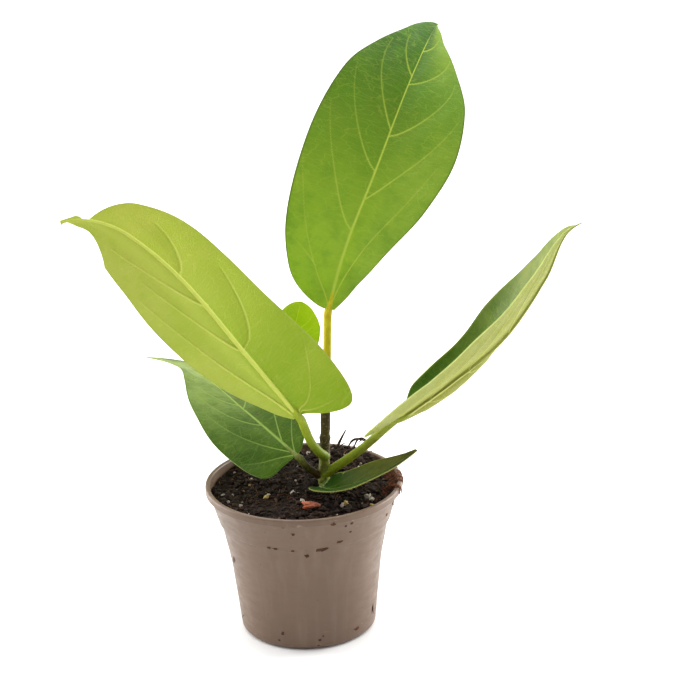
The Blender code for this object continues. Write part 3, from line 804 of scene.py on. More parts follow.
def roughened(obj, scale, height, seed=0.0):
    """Pushes the surface in and out by a smooth noise at this scale."""
    places = get_points(obj)
    normals = np.empty(len(places) * 3)
    obj.data.vertices.foreach_get("normal", normals)
    normals = normals.reshape(-1, 3)
    shift = Vector((seed, seed * 0.7, -seed))
    push = np.array([noise.fractal(Vector(p) * scale + shift, 0.9, 2.1, 4) for p in places])
    set_points(obj, places + normals * (push * height)[:, None])


class Heap:
    """Gathers many small copies of a few modelled shapes into one piece."""

    def __init__(self):
        self.points, self.faces, self.count = [], [], 0

    def add(self, points, faces):
        self.points.append(points)
        self.faces.extend([tuple(index + self.count for index in face) for face in faces])
        self.count += len(points)

    def made(self, name):
        obj = new_mesh(name, np.concatenate(self.points), [], self.faces)
        smooth(obj, 60.0)
        return obj


def lump_shape(subdivisions, roughness, seed):
    """A rough pebble about 1 across, as points and faces."""
    deselect_all()
    bpy.ops.mesh.primitive_ico_sphere_add(subdivisions=subdivisions, radius=0.5)
    obj = bpy.context.object
    points = get_points(obj)
    push = [noise.noise(Vector(p) * 2.3 + Vector((seed, 0, seed))) for p in points]
    points = points * (1 + roughness * np.array(push))[:, None]
    faces = [tuple(face.vertices) for face in obj.data.polygons]
    mesh = obj.data
    bpy.data.objects.remove(obj)
    bpy.data.meshes.remove(mesh)
    return points, faces


def strand_shape(path, radius, sides=5):
    """A thin tapering strand along these points, as points and faces."""
    path = np.asarray(path, float)
    heading = unit(np.gradient(path, axis=0))
    aside = unit(np.cross(heading, (0.31, 0.52, 0.79)))
    other = np.cross(heading, aside)
    turns = np.arange(sides) * 2 * math.pi / sides
    taper = radius * (0.35 + 0.65 * np.sin(np.linspace(0.25, math.pi - 0.15, len(path))))
    rings = (
        path[:, None]
        + aside[:, None] * (np.cos(turns)[None, :, None] * taper[:, None, None])
        + other[:, None] * (np.sin(turns)[None, :, None] * taper[:, None, None])
    )
    faces = []
    for low in range(0, (len(path) - 1) * sides, sides):
        for side in range(sides):
            after = (side + 1) % sides
            faces.append((low + side, low + after, low + sides + after, low + sides + side))
    faces.append(tuple(reversed(range(sides))))
    last = (len(path) - 1) * sides
    faces.append(tuple(range(last, last + sides)))
    return rings.reshape(-1, 3), faces


def turned_copy(points, size, place, rng):
    """The points at this size and place, turned at random."""
    spin = Matrix.Rotation(rng.uniform(0, 2 * math.pi), 3, "Z")
    tilt = Matrix.Rotation(rng.uniform(-0.5, 0.5), 3, "X")
    across = size * np.array([rng.uniform(0.8, 1.25), 1.0, 1.0])
    return (points * across) @ np.array(spin @ tilt).T + np.asarray(place)


def arc(across, height, radius, start, end, steps):
    """Points of (radius, height) round this centre, from one angle in degrees to the other."""
    turns = [math.radians(start + (end - start) * step / steps) for step in range(steps + 1)]
    return [(across + radius * math.cos(t), height + radius * math.sin(t)) for t in turns]


# ---- The soil's surface ----


def wall_radius(height):
    """The radius of the pot's outside at this height."""
    steps = (
        (0.0, BASE_RADIUS - CORNER_RADIUS),
        (0.0012, BASE_RADIUS - 0.0014),
        (CORNER_RADIUS, BASE_RADIUS),
        (POT_HEIGHT - WAIST_DROP, BODY_TOP - WAIST_INSET),
        (COLLAR_FOOT_HEIGHT - STEP, BODY_TOP),
        (COLLAR_FOOT_HEIGHT, COLLAR_FOOT),
        (LIP_FOOT, COLLAR_TOP),
        (LIP_FOOT + 0.0002, RIM_RADIUS),
        (POT_HEIGHT, RIM_RADIUS),
    )
    heights, radii = zip(*steps)
    return float(np.interp(height, heights, radii))


def soil_height(x, y):
    """How high the soil lies here: heaped at the back right, and sunk at the left rim."""
    edge = min(1.0, math.hypot(x, y) / SOIL_RADIUS)
    crown = SOIL_CROWN - 0.0016 * edge**2
    heap = 0.0066 * math.exp(-(((x - 0.022) / 0.021) ** 2 + ((y - 0.038) / 0.015) ** 2))
    hollow = 0.0024 * math.exp(-(((x + 0.052) / 0.020) ** 2 + ((y - 0.004) / 0.034) ** 2))
    front = 0.0012 * math.exp(-(((x - 0.005) / 0.05) ** 2 + ((y + 0.052) / 0.012) ** 2))
    rolls = 0.0011 * noise.noise(Vector((x, y, 0.0)) * 70.0)
    return crown + heap - hollow - front + rolls


def soil_relief(x, y, lump_height):
    spot = Vector((x, y, 0.0))
    coarse = noise.fractal(spot * 190.0, 0.8, 2.0, 3)
    cells = noise.voronoi(spot * 330.0)[0][0]
    fine = noise.fractal(spot * 900.0, 0.7, 2.1, 3)
    return lump_height * (0.34 * coarse + 0.45 * (0.5 - cells) + 0.16 * fine)


# ---- The leaf blades ----


def half_widths(leaf, right):
    widths = np.array([0.0, *leaf["right" if right else "left"]]) * MM
    widths[0] = leaf["stalk_radius"] * BASE_MARGIN
    return widths


def flat_place(leaf, shares, reaches):
    """Where these shares and reaches lie on the leaf laid flat, and how far out and back."""
    shares, reaches = np.broadcast_arrays(shares, reaches)
    out = np.empty(shares.shape)
    back = np.empty(shares.shape)
    for right in (False, True):
        here = (reaches > 0) == right
        widths = half_widths(leaf, right)
        widest = widths.max()
        squared = np.clip(hermite(SHARES, widths**2, shares[here]), 1e-7, None)
        out[here] = np.sqrt(squared) * np.abs(reaches[here])
        lobe = leaf["lobe"][int(right)] * np.exp(-((shares[here] / LOBE_REACH) ** 2)) * widest
        sinus = leaf["stalk_radius"] * LOBE_SINUS
        spread = np.clip((out[here] - sinus) / (widest - sinus), 0, 1)
        back[here] = lobe * spread ** leaf["lobe_power"]
    rib = from_foot(leaf["rib"])
    length = np.linalg.norm(np.diff(rib, axis=0), axis=1).sum()
    return np.sign(reaches) * out, shares * length - back, out, back


def upper_face(leaf, shares, reaches):
    """The upper face's points on a grid of shares along and reaches across."""
    rib = from_foot(leaf["rib"])
    centre = course(rib, shares)
    ahead = course(rib, np.clip(shares + RIB_STEP, 0, 1))
    heading = unit(ahead - course(rib, np.clip(shares - RIB_STEP, 0, 1)))
    up = along(leaf["up"], shares)
    normal = unit(up - np.sum(up * heading, axis=1, keepdims=True) * heading)
    side = np.cross(heading, normal)
    _, _, out, back = flat_place(leaf, shares[:, None], reaches[None, :])
    across = np.empty(out.shape)
    lift = np.empty(out.shape)
    for right in (False, True):
        here = (reaches > 0) == right
        widest = half_widths(leaf, right).max()
        start = np.radians(along(leaf["fold"][int(right)], shares))[:, None]
        bend = np.radians(along(leaf["curl"][int(right)], shares))[:, None] / widest
        bend = np.where(np.abs(bend) < 1e-3, 1e-3, bend)
        turn = start + bend * out[:, here]
        across[:, here] = (np.sin(turn) - np.sin(start)) / bend
        lift[:, here] = (np.cos(start) - np.cos(turn)) / bend
    height, count, phase = leaf["wave"]
    ripple = np.sin(2 * math.pi * (count * shares[:, None] + phase + 0.23 * (reaches > 0)))
    swell = np.sin(math.pi * np.clip(shares * 1.05, 0, 1))[:, None]
    lift = lift + height * MM * ripple * swell * np.abs(reaches[None, :]) ** 2.5
    return (
        centre[:, None]
        + side[:, None] * (np.sign(reaches)[None, :] * across)[..., None]
        + normal[:, None] * lift[..., None]
        - heading[:, None] * back[..., None]
    )


def vein_field(leaf, x, y, settings):
    """How much of a vein is at each flat place, and how far away the nearest side vein is."""
    strength = np.zeros(x.shape)
    nearest = np.full(x.shape, 1.0)
    steps = np.linspace(0, 1, 22)
    for start, first, end, last, bow in leaf["veins"]:
        shares = start + (end - start) * steps
        reaches = first + (last - first) * steps**bow
        vein_x, vein_y, _, _ = flat_place(leaf, shares, np.where(reaches == 0, 1e-6 * last, reaches))
        width = settings.vein_width * (1 - 0.4 * steps) * (0.5 + 0.5 * leaf["rib_depth"] / FULL_RIB_DEPTH)
        for k in range(len(steps) - 1):
            ax, ay = vein_x[k], vein_y[k]
            bx, by = vein_x[k + 1] - ax, vein_y[k + 1] - ay
            t = np.clip(((x - ax) * bx + (y - ay) * by) / (bx * bx + by * by + 1e-12), 0, 1)
            away = np.hypot(x - ax - t * bx, y - ay - t * by)
            fade = 1 - 0.45 * (k + t) / len(steps)
            strength = np.maximum(strength, fade * np.exp(-((away / width[k]) ** 2)))
            nearest = np.minimum(nearest, away)
    return strength, nearest


def make_blade(key, leaf, settings):
    """A leaf blade: a fine grid on the leaf's form, veined, with a thickness under it."""
    rows, columns = leaf["grain"]
    obj, flat = flat_grid("blade_" + key, columns, rows)
    column = np.rint((flat[:, 0] + 1) / 2 * columns).astype(int)
    row = np.rint((flat[:, 1] + 1) / 2 * rows).astype(int)
    even = np.linspace(-1, 1, columns + 1)
    reaches = np.sign(even) * np.abs(even) ** COLUMN_POWER
    shares = np.linspace(0, 1, rows + 1) ** ROW_POWER

    points = upper_face(leaf, shares, reaches)
    x, y, _, _ = flat_place(leaf, shares[:, None], reaches[None, :])
    side_veins, away = vein_field(leaf, x, y, settings)
    rib_width = 0.0002 + 0.30 * leaf["rib_depth"] * (1 - shares[:, None]) ** 1.2
    midrib = np.exp(-((x / rib_width) ** 2)) * np.ones_like(x)
    open_edge = 1 - np.abs(reaches[None, :]) ** 6
    bulge = (1 - np.exp(-((np.minimum(away, np.abs(x)) / 0.006) ** 2))) * open_edge
    size = leaf["relief"] * leaf["rib_depth"] / FULL_RIB_DEPTH
    relief = settings.quilting * size * bulge - settings.vein_sink * size * side_veins
    relief = relief - 0.5 * settings.vein_sink * size * midrib
    normals = unit(np.cross(np.gradient(points, axis=1), np.gradient(points, axis=0)))
    ends = np.clip(np.minimum(shares, 1 - shares) / 0.03, 0, 1)[:, None]
    points = points + normals * (relief * ends)[..., None]

    set_points(obj, points[row, column])
    vein = np.maximum(side_veins * 0.85, midrib) * np.clip((1 - shares[:, None]) / 0.12, 0, 1)
    put_attribute(obj, "vein", vein[row, column])
    put_attribute(obj, "share", shares[row])
    put_attribute(obj, "reach", reaches[column])
    layer = obj.data.uv_layers[0] if obj.data.uv_layers else obj.data.uv_layers.new()
    layer.name = "blade"
    corners = np.empty(len(obj.data.loops), int)
    obj.data.loops.foreach_get("vertex_index", corners)
    sheet = np.stack([x[row, column], y[row, column]], axis=1) * UV_PER_METRE
    layer.data.foreach_set("uv", sheet[corners].astype(np.float32).ravel())

    thick = side_veins * settings.side_vein_depth * leaf["relief"]
    thick = np.maximum(midrib * (1 - shares[:, None]) ** 0.7, thick)
    group = obj.vertex_groups.new(name="ribs")
    weights = thick[row, column]
    for index in np.nonzero(weights > 0.01)[0]:
        group.add([int(index)], float(weights[index]), "REPLACE")
    upper, under = leaf["rough"]
    gloss = leaf["shine"]
    face = blade_material(key + " leaf upper face", leaf["upper"], upper, gloss, True, leaf["dusty"])
    back = blade_material(key + " leaf underside", leaf["under"], under, UNDERSIDE_SHINE, False, False)
    obj.data.materials.append(face)
    obj.data.materials.append(back)
    apply_modifier(
        obj,
        "SOLIDIFY",
        thickness=leaf["rib_depth"],
        offset=-1.0,
        vertex_group=group.name,
        thickness_vertex_group=LAMINA / leaf["rib_depth"],
        material_offset=1,
        material_offset_rim=1,
    )
    obj.vertex_groups.clear()
    smooth(obj, 55.0)
    return settle(obj, replaces=("leaf_" + key,))


# ---- Operators ----


class FIG_OT_stage(bpy.types.Operator):
    """Sets the floor, the lights and the camera"""

    bl_idname = "fig.stage"
    bl_label = "Stage"

    def execute(self, context):
        settings = context.scene.fig_stage
        deselect_all()
        bpy.ops.mesh.primitive_grid_add(x_subdivisions=8, y_subdivisions=8, size=FLOOR_SIZE)
        floor = context.object
        floor.name = "floor"
        floor.data.materials.append(floor_material(settings))

        world = bpy.data.worlds.new("studio")
        world.use_nodes = True
        backdrop = world.node_tree.nodes["Background"]
        backdrop.inputs["Color"].default_value = (1.0, 1.0, 1.0, 1.0)
        backdrop.inputs["Strength"].default_value = settings.air
        context.scene.world = world

        # Each lamp's name, place, power and width; the far one shines straight down on the floor.
        lamps = (
            ("overhead", (0.0, 0.1, 1.7), settings.over, 1.6),
            ("far", (0.0, 3.2, 2.4), settings.over * 5.0, 4.0),
            ("key", (-0.55, -1.1, 1.45), settings.key, 0.9),
            ("left", (-0.95, 0.42, 0.30), settings.side, 0.6),
            ("right", (0.95, 0.42, 0.30), settings.side * 1.3, 0.6),
        )
        aim = Vector((0.0, 0.0, 0.5 * CAD_BOX[1].z))
        for name, place, power, size in lamps:
            data = bpy.data.lights.new(name, "AREA")
            data.energy = power
            data.size = size
            lamp = bpy.data.objects.new(name, data)
            context.scene.collection.objects.link(lamp)
            lamp.location = place
            if name != "far":
                lamp.rotation_euler = (aim - Vector(place)).to_track_quat("-Z", "Y").to_euler()

        lens = bpy.data.cameras.new("camera")
        lens.lens = CAMERA_LENS
        lens.clip_end = 100.0
        camera = bpy.data.objects.new("camera", lens)
        context.scene.collection.objects.link(camera)
        pitch = Matrix.Rotation(math.radians(CAMERA_TILT), 4, "X")
        roll = Matrix.Rotation(math.radians(CAMERA_ROLL), 4, "Z")
        camera.matrix_world = Matrix.Translation(CAMERA_PLACE) @ pitch @ roll
        context.scene.camera = camera
        context.scene.view_settings.view_transform = "Standard"
        return {"FINISHED"}


class FIG_OT_pot(bpy.types.Operator):
    """Turns the nursery pot, with its rolled lip, collar, step, foot ring and drain holes"""

    bl_idname = "fig.pot"
    bl_label = "Pot"

    def outside(self):
        """From under the lip down to the foot's corner, as (radius, height)."""
        ledge = COLLAR_FOOT_HEIGHT - STEP / 2
        waist, waist_height = BODY_TOP - WAIST_INSET, POT_HEIGHT - WAIST_DROP
        profile = [
            (RIM_RADIUS - 0.0003, LIP_FOOT),
            (COLLAR_TOP + 0.0004, LIP_FOOT + 0.0001),
            (COLLAR_TOP, LIP_FOOT - 0.0004),
            (COLLAR_FOOT + 0.0002, COLLAR_FOOT_HEIGHT + 0.0010),
            (COLLAR_FOOT, COLLAR_FOOT_HEIGHT + 0.0004),
            (COLLAR_FOOT - 0.0004, COLLAR_FOOT_HEIGHT),
            (BODY_TOP + 0.0001, ledge + 0.0001),
            (BODY_TOP - 0.0002, ledge - 0.0006),
        ]
        for share in (0.25, 0.5, 0.75):
            profile.append((BODY_TOP - WAIST_INSET * share, ledge + share * (waist_height - ledge)))
        for share in (0.06, 0.2, 0.35, 0.5, 0.65, 0.8, 0.93):
            radius = waist + share * (BASE_RADIUS - waist)
            profile.append((radius, waist_height + share * (CORNER_RADIUS - waist_height)))
        return profile

    def lip(self, crown=0.0012):
        """Over the rolled lip, from the inside to the outside."""
        middle = POT_HEIGHT - crown
        inner = arc(RIM_RADIUS - LIP_WIDTH + crown, middle, crown, 180, 90, 5)
        outer = arc(RIM_RADIUS - crown, middle, crown, 90, 0, 5)
        return inner + outer + [(RIM_RADIUS, LIP_FOOT + 0.0004)]

    def execute(self, context):
        outside = self.outside()
        ring = BASE_RADIUS - CORNER_RADIUS
        profile = [(0.0, FLOOR)]
        profile += arc(ring - WALL + FLOOR, CORNER_RADIUS, CORNER_RADIUS - FLOOR, -90, 0, 6)
        profile += [(radius - WALL, height) for radius, height in reversed(outside[3:])]
        profile += [(RIM_RADIUS - LIP_WIDTH, LIP_FOOT)] + self.lip() + outside
        profile += arc(ring, CORNER_RADIUS, CORNER_RADIUS, 0, -90, 6)
        profile += [(ring - 0.0016, 0.0), (ring - 0.0022, 0.0005), (0.0, 0.0005)]
        pot = turned("nursery_pot", profile)

        deselect_all()
        bpy.ops.mesh.primitive_cylinder_add(
            vertices=40, radius=DRAIN_RADIUS, depth=4 * FLOOR, location=(DRAIN_RING, 0, FLOOR / 2)
        )
        plug = context.object
        bpy.ops.object.transform_apply(location=True, rotation=False, scale=False)
        plug_points = get_points(plug)
        for index in range(DRAIN_COUNT):
            angle = 2 * math.pi * (index + 0.5) / DRAIN_COUNT
            set_points(plug, plug_points @ np.array(Matrix.Rotation(angle, 3, "Z")).T)
            apply_modifier(pot, "BOOLEAN", operation="DIFFERENCE", solver="EXACT", object=plug)
        bpy.data.objects.remove(plug)
        smooth(pot, 32.0)
        settle(pot, plastic_material(context.scene.fig_pot), ("pot",))
        return {"FINISHED"}


class FIG_OT_pot_specks(bpy.types.Operator):
    """Sticks dried soil to the outside of the pot"""

    bl_idname = "fig.pot_specks"
    bl_label = "Soil on the pot"

    def execute(self, context):
        rng = random.Random(context.scene.fig_soil.seed + 3)
        heap = Heap()
        shapes = [lump_shape(2, 0.9, seed) for seed in range(4)]
        specks = list(POT_SPECKS)
        for _ in range(26):
            low = rng.random() < 0.35
            height = rng.uniform(4, 14) if low else rng.uniform(66, 92)
            specks.append((rng.uniform(-30, 215), height, rng.uniform(0.7, 2.4), rng.uniform(0.7, 1.8)))
        for angle, height, width, depth in specks:
            points, faces = shapes[rng.randrange(len(shapes))]
            turn = np.array(Matrix.Rotation(math.radians(angle), 3, "Z"))
            place = np.array((wall_radius(height * MM) + 0.00005, 0.0, height * MM))
            size = np.array([0.55, width, depth]) * MM
            heap.add((points * size + place) @ turn.T, faces)
        brown = earth_material("dried soil", paint("4A2F22"), paint("6B4632"), 500.0)
        settle(heap.made("pot_specks"), brown)
        return {"FINISHED"}


class FIG_OT_soil(bpy.types.Operator):
    """Fills the pot with crumbly soil"""

    bl_idname = "fig.soil"
    bl_label = "Soil"

    gap = 0.0005

    def execute(self, context):
        settings = context.scene.fig_soil
        soil, flat = flat_grid("soil_fill", 230, 230)
        x, y = flat[:, 0], flat[:, 1]
        far = np.maximum(np.abs(x), np.abs(y))
        turn = np.arctan2(y, x)
        aside = np.stack([np.cos(turn), np.sin(turn)])
        rim = []
        for across, ahead in (aside * SOIL_RADIUS).T:
            height = min(soil_height(across, ahead), LIP_FOOT)
            rim.append(wall_radius(height) - WALL - self.gap)
        spread_x, spread_y = aside * np.array(rim) * far
        heights = []
        for px, py, share in zip(spread_x, spread_y, far):
            relief = soil_relief(px, py, settings.lump_height)
            heights.append(soil_height(px, py) + relief * min(1.0, (1 - share) * 30 + 0.35))
        set_points(soil, np.stack([spread_x, spread_y, np.array(heights)], axis=1))

        make_active(soil)
        bpy.ops.object.mode_set(mode="EDIT")
        bpy.ops.mesh.select_all(action="DESELECT")
        bpy.ops.mesh.select_mode(type="EDGE")
        bpy.ops.mesh.select_non_manifold()
        for height in (0.0715, 0.0690, 0.0470, 0.0070, 0.0035, FLOOR + self.gap):
            bpy.ops.mesh.extrude_region_move(TRANSFORM_OT_translate={"value": (0, 0, -0.01)})
            bpy.ops.object.mode_set(mode="OBJECT")
            chosen = np.empty(len(soil.data.vertices), bool)
            soil.data.vertices.foreach_get("select", chosen)
            points = get_points(soil)
            points[chosen, :2] = unit(points[chosen, :2]) * (wall_radius(height) - WALL - self.gap)
            points[chosen, 2] = height
            set_points(soil, points)
            bpy.ops.object.mode_set(mode="EDIT")
        bpy.ops.mesh.edge_face_add()
        bpy.ops.object.mode_set(mode="OBJECT")
        tidy_shell(soil)
        smooth(soil, 60.0)
        light = tuple(min(1.0, 2.6 * c + 0.004) for c in settings.colour)
        earth = earth_material("moist peat", tuple(settings.colour), light, 330.0)
        settle(soil, earth, ("soil",))
        return {"FINISHED"}


class FIG_OT_crumbs(bpy.types.Operator):
    """Scatters crumbs, bark chips, perlite and fibres over the soil"""

    bl_idname = "fig.crumbs"
    bl_label = "Crumbs and grains"

    def spot(self, rng, limit=0.985):
        """A place on the soil, clear of the stem."""
        while True:
            radius = SOIL_RADIUS * limit * math.sqrt(rng.random())
            angle = rng.uniform(0, 2 * math.pi)
            x, y = radius * math.cos(angle), radius * math.sin(angle)
            if math.hypot(x - STEM_FOOT.x, y) > 0.005:
                return x, y

    def drop(self, heap, lumps, rng, spot, size, lift, form):
        """Lays one lump of this size and form on the soil."""
        points, faces = lumps[rng.randrange(len(lumps))]
        place = (*spot, soil_height(*spot) + lift)
        heap.add(turned_copy(points * np.array(form), size, place, rng), faces)

    def fibre(self, rng):
        """A fine strand that wanders over the soil."""
        x, y = self.spot(rng, 0.95)
        heading = rng.uniform(0, 2 * math.pi)
        path = []
        for _ in range(9):
            path.append((x, y, soil_height(x, y) + rng.uniform(0.3, 1.6) * MM))
            heading += rng.uniform(-0.5, 0.5)
            x += 0.0011 * math.cos(heading)
            y += 0.0011 * math.sin(heading)
            pull = min(1.0, 0.97 * SOIL_RADIUS / math.hypot(x, y))
            x, y = x * pull, y * pull
        return strand_shape(path, rng.uniform(0.10, 0.24) * MM)

    def execute(self, context):
        settings = context.scene.fig_soil
        rng = random.Random(settings.seed)
        lumps = [lump_shape(2, 0.8, seed) for seed in range(5)]
        crumbs, chips, pale, tan, fibres = Heap(), Heap(), Heap(), Heap(), Heap()

        for _ in range(settings.crumbs):
            spot = self.spot(rng)
            size = rng.uniform(0.8, 2.8) * MM * (1.0 if rng.random() < 0.75 else 1.5)
            self.drop(crumbs, lumps, rng, spot, size, 0.25 * size, (1.0, 1.0, 0.75))
        for _ in range(settings.chips):
            spot = self.spot(rng)
            size = rng.uniform(2.0, 4.6) * MM
            self.drop(chips, lumps, rng, spot, size, 0.6 * MM, (1.0, 0.42, 0.3))
        grains = [((x * MM, y * MM), size * MM) for x, y, size in PERLITE_PLACES]
        for _ in range(settings.perlite):
            spot = self.spot(rng)
            grains.append((spot, rng.uniform(0.8, 2.0) * MM))
        for index, (spot, size) in enumerate(grains):
            heap = tan if index % 5 == 3 else pale
            self.drop(heap, lumps, rng, spot, size, 0.35 * size, (1.0, 1.0, 0.8))
        for _ in range(settings.fibres):
            fibres.add(*self.fibre(rng))

        dark = tuple(settings.colour)
        light = tuple(min(1.0, 3.2 * c + 0.004) for c in dark)
        looks = (
            (crumbs, "soil_crumbs", "peat crumbs", dark, light, 240.0, 0.95),
            (chips, "bark_chips", "bark chips", paint("38241A"), paint("6A4A34"), 420.0, 0.85),
            (pale, "perlite_grains", "perlite", tuple(settings.pale), paint("CCC2B4"), 500.0, 0.8),
            (tan, "tan_grains", "tan grains", paint("B79C58"), paint("CDBB82"), 500.0, 0.8),
            (fibres, "peat_fibres", "peat fibres", paint("4B3122"), paint("8A6240"), 300.0, 0.95),
        )
        for heap, name, *look in looks:
            settle(heap.made(name), earth_material(*look))
        return {"FINISHED"}


class FIG_OT_debris(bpy.types.Operator):
    """Adds the dark twiggy litter at the back and the dry coir that hangs over the rim"""

    bl_idname = "fig.debris"
    bl_label = "Litter and coir"

    # Each twig's thickness and then its points in millimetres, from the soil's crown.
    twigs = (
        (0.9, (19, 40, 0), (21, 41, 6), (24, 42, 12), (27, 43, 17)),
        (0.5, (21, 44, 3), (24, 45, 6), (26, 45, 7)),
        (0.8, (28, 46, 4), (31, 47, 8), (35, 46, 9), (40, 45, 7)),
        (0.6, (31, 40, 3), (33, 42, 9), (36, 43, 11), (40, 42, 9)),
        (0.4, (34, 47, 5), (37, 47, 8), (42, 46, 6)),
    )

    def blade_of_litter(self, rng, x, y):
        """A short dark strand that arches up from the soil."""
        z = soil_height(x, y)
        lean = rng.uniform(0, 2 * math.pi)
        path = []
        for step in range(8):
            rise = math.sin(step / 7 * rng.uniform(1.8, 2.8)) * rng.uniform(0.8, 1.0)
            path.append((x, y, z + 0.0024 * rise))
            x += 0.0009 * math.cos(lean)
            y += 0.0009 * math.sin(lean)
            lean += rng.uniform(-0.5, 0.5)
        return strand_shape(path, rng.uniform(0.12, 0.3) * MM)

    def coir_strand(self, rng):
        """A dry strand at the soil's edge, which may hang over the rim."""
        angle = math.radians(rng.gauss(-4, 13))
        inner = SOIL_RADIUS - rng.uniform(0.0, 0.008)
        over = rng.random() < 0.30
        drop = rng.uniform(0.001, 0.008) if over else 0.0
        wander = rng.uniform(-0.12, 0.12)
        path = []
        for step in range(10):
            share = step / 9
            turn = angle + wander * share + rng.uniform(-0.008, 0.008)
            if over:
                radius = inner + (RIM_RADIUS + 0.0006 - inner) * min(1.0, 1.7 * share)
                height = POT_HEIGHT + 0.0009 * math.sin(math.pi * min(1.0, 1.5 * share))
                height -= drop * max(0.0, share - 0.45) / 0.55
                height -= 0.0028 * max(0.0, 0.3 - share) / 0.3
            else:
                radius = inner + 0.002 * math.sin(3 * share)
                height = SOIL_CROWN - 0.001 + rng.uniform(0.0, 0.003) + 0.001 * share
            path.append((radius * math.cos(turn), radius * math.sin(turn), height))
        return strand_shape(path, rng.uniform(0.14, 0.36) * MM)

    def execute(self, context):
        settings = context.scene.fig_soil
        rng = random.Random(settings.seed + 7)
        litter, coir = Heap(), Heap()
        for thick, *twig in self.twigs:
            points = np.array(twig) * MM + np.array((0, 0, SOIL_CROWN))
            litter.add(*strand_shape(course(points, np.linspace(0, 1, 12)), thick * MM, 6))
        for _ in range(34):
            x, y = rng.gauss(0.033, 0.008), rng.gauss(0.038, 0.007)
            if math.hypot(x, y) <= 0.94 * SOIL_RADIUS:
                litter.add(*self.blade_of_litter(rng, x, y))
        for _ in range(58):
            coir.add(*self.coir_strand(rng))
        dark = earth_material("dark litter", paint("2E2018"), paint("5C4030"), 300.0)
        settle(litter.made("soil_litter"), dark)
        orange = earth_material("dry coir", tuple(settings.coir), paint("3C2416"), 260.0, 0.9)
        settle(coir.made("coir_tuft"), orange)
        return {"FINISHED"}


class FIG_OT_stem(bpy.types.Operator):
    """Grows the stem, with its leaf scars and corky bark"""

    bl_idname = "fig.stem"
    bl_label = "Stem"

    def execute(self, context):
        shares = np.linspace(0, 1, 90)
        above = course(from_foot(STEM_COURSE), shares)
        below = above[0] - np.outer(np.linspace(1, 0.04, 20), (0, 0, STEM_BURIED))
        radii = STEM_RADIUS + (STEM_TOP_RADIUS - STEM_RADIUS) * shares
        for height in STEM_SCARS:
            share = height / STEM_COURSE[-1][2]
            radii = radii + 0.00045 * np.exp(-(((shares - share) / 0.020) ** 2))
            radii = radii - 0.00018 * np.exp(-(((shares - share - 0.045) / 0.022) ** 2))
        radii = np.concatenate([np.full(20, STEM_RADIUS), radii])
        stem = add_tube("stem_bark", np.concatenate([below, above]), list(radii), 40)
        roughened(stem, 420.0, 0.00022)
        smooth(stem, 60.0)
        settle(stem, bark_material("young bark"), ("stem",))
        return {"FINISHED"}


class FIG_OT_stalks(bpy.types.Operator):
    """Grows each leaf's stalk from the stem into its midrib"""

    bl_idname = "fig.stalks"
    bl_label = "Leaf stalks"

    # The colours at the foot and the head, and of the corky specks.
    looks = {
        "top": ("A89C1C", "C4BA2C", "A07820"),
        "left": ("6C7E1C", "9AA82C", "5C6A1C"),
        "lower_left": ("38280E", "6E7A30", "2A200E"),
        "right": ("6C7A10", "98A238", "565E12"),
        "low": ("344408", "44540C", "24300A"),
        "young": ("869C10", "A0B424", "70841C"),
    }

    def execute(self, context):
        for key, leaf in LEAVES.items():
            rib = from_foot(leaf["rib"])
            under = np.array([0.0, 0.02, 0.05, 0.09])
            heading = unit(course(rib, [0.0, RIB_STEP])[1] - rib[0])
            up = along(leaf["up"], under)
            up = unit(up - np.outer(up @ heading, heading))
            depth = leaf["rib_depth"] * np.array([0.42, 0.46, 0.46, 0.40])
            joined = course(rib, under) - up * depth[:, None]
            neck = rib[0] - heading * 0.0037
            guide = np.concatenate([from_foot(leaf["stalk"]), [neck], joined])
            points = course(guide, np.linspace(0, 1, 70))
            steps = np.linalg.norm(np.diff(points, axis=0), axis=1)
            travelled = np.concatenate([[0.0], np.cumsum(steps)])
            whole = travelled[-1]
            into = whole - np.linalg.norm(np.diff(joined, axis=0), axis=1).sum()
            places = [0.0, 0.12 * into, 0.5 * into, 0.95 * into, 0.65 * into + 0.35 * whole, whole]
            thickness = np.array([1.35, 1.08, 1.0, 1.02, 0.72, 0.30]) * leaf["stalk_radius"]
            radii = np.interp(travelled, places, thickness)
            stalk = add_tube("leaf_stalk_" + key, points, list(radii), 36)
            roughened(stalk, 260.0, 0.00014, leaf["rib_depth"] * 900)
            smooth(stalk, 60.0)
            skin = stalk_material(key + " stalk", *self.looks[key])
            settle(stalk, skin, ("stalk_" + key,))
        return {"FINISHED"}


class FIG_OT_leaves(bpy.types.Operator):
    """Grows every leaf blade"""

    bl_idname = "fig.leaves"
    bl_label = "Leaf blades"

    def execute(self, context):
        for key, leaf in LEAVES.items():
            make_blade(key, leaf, context.scene.fig_leaf)
        return {"FINISHED"}


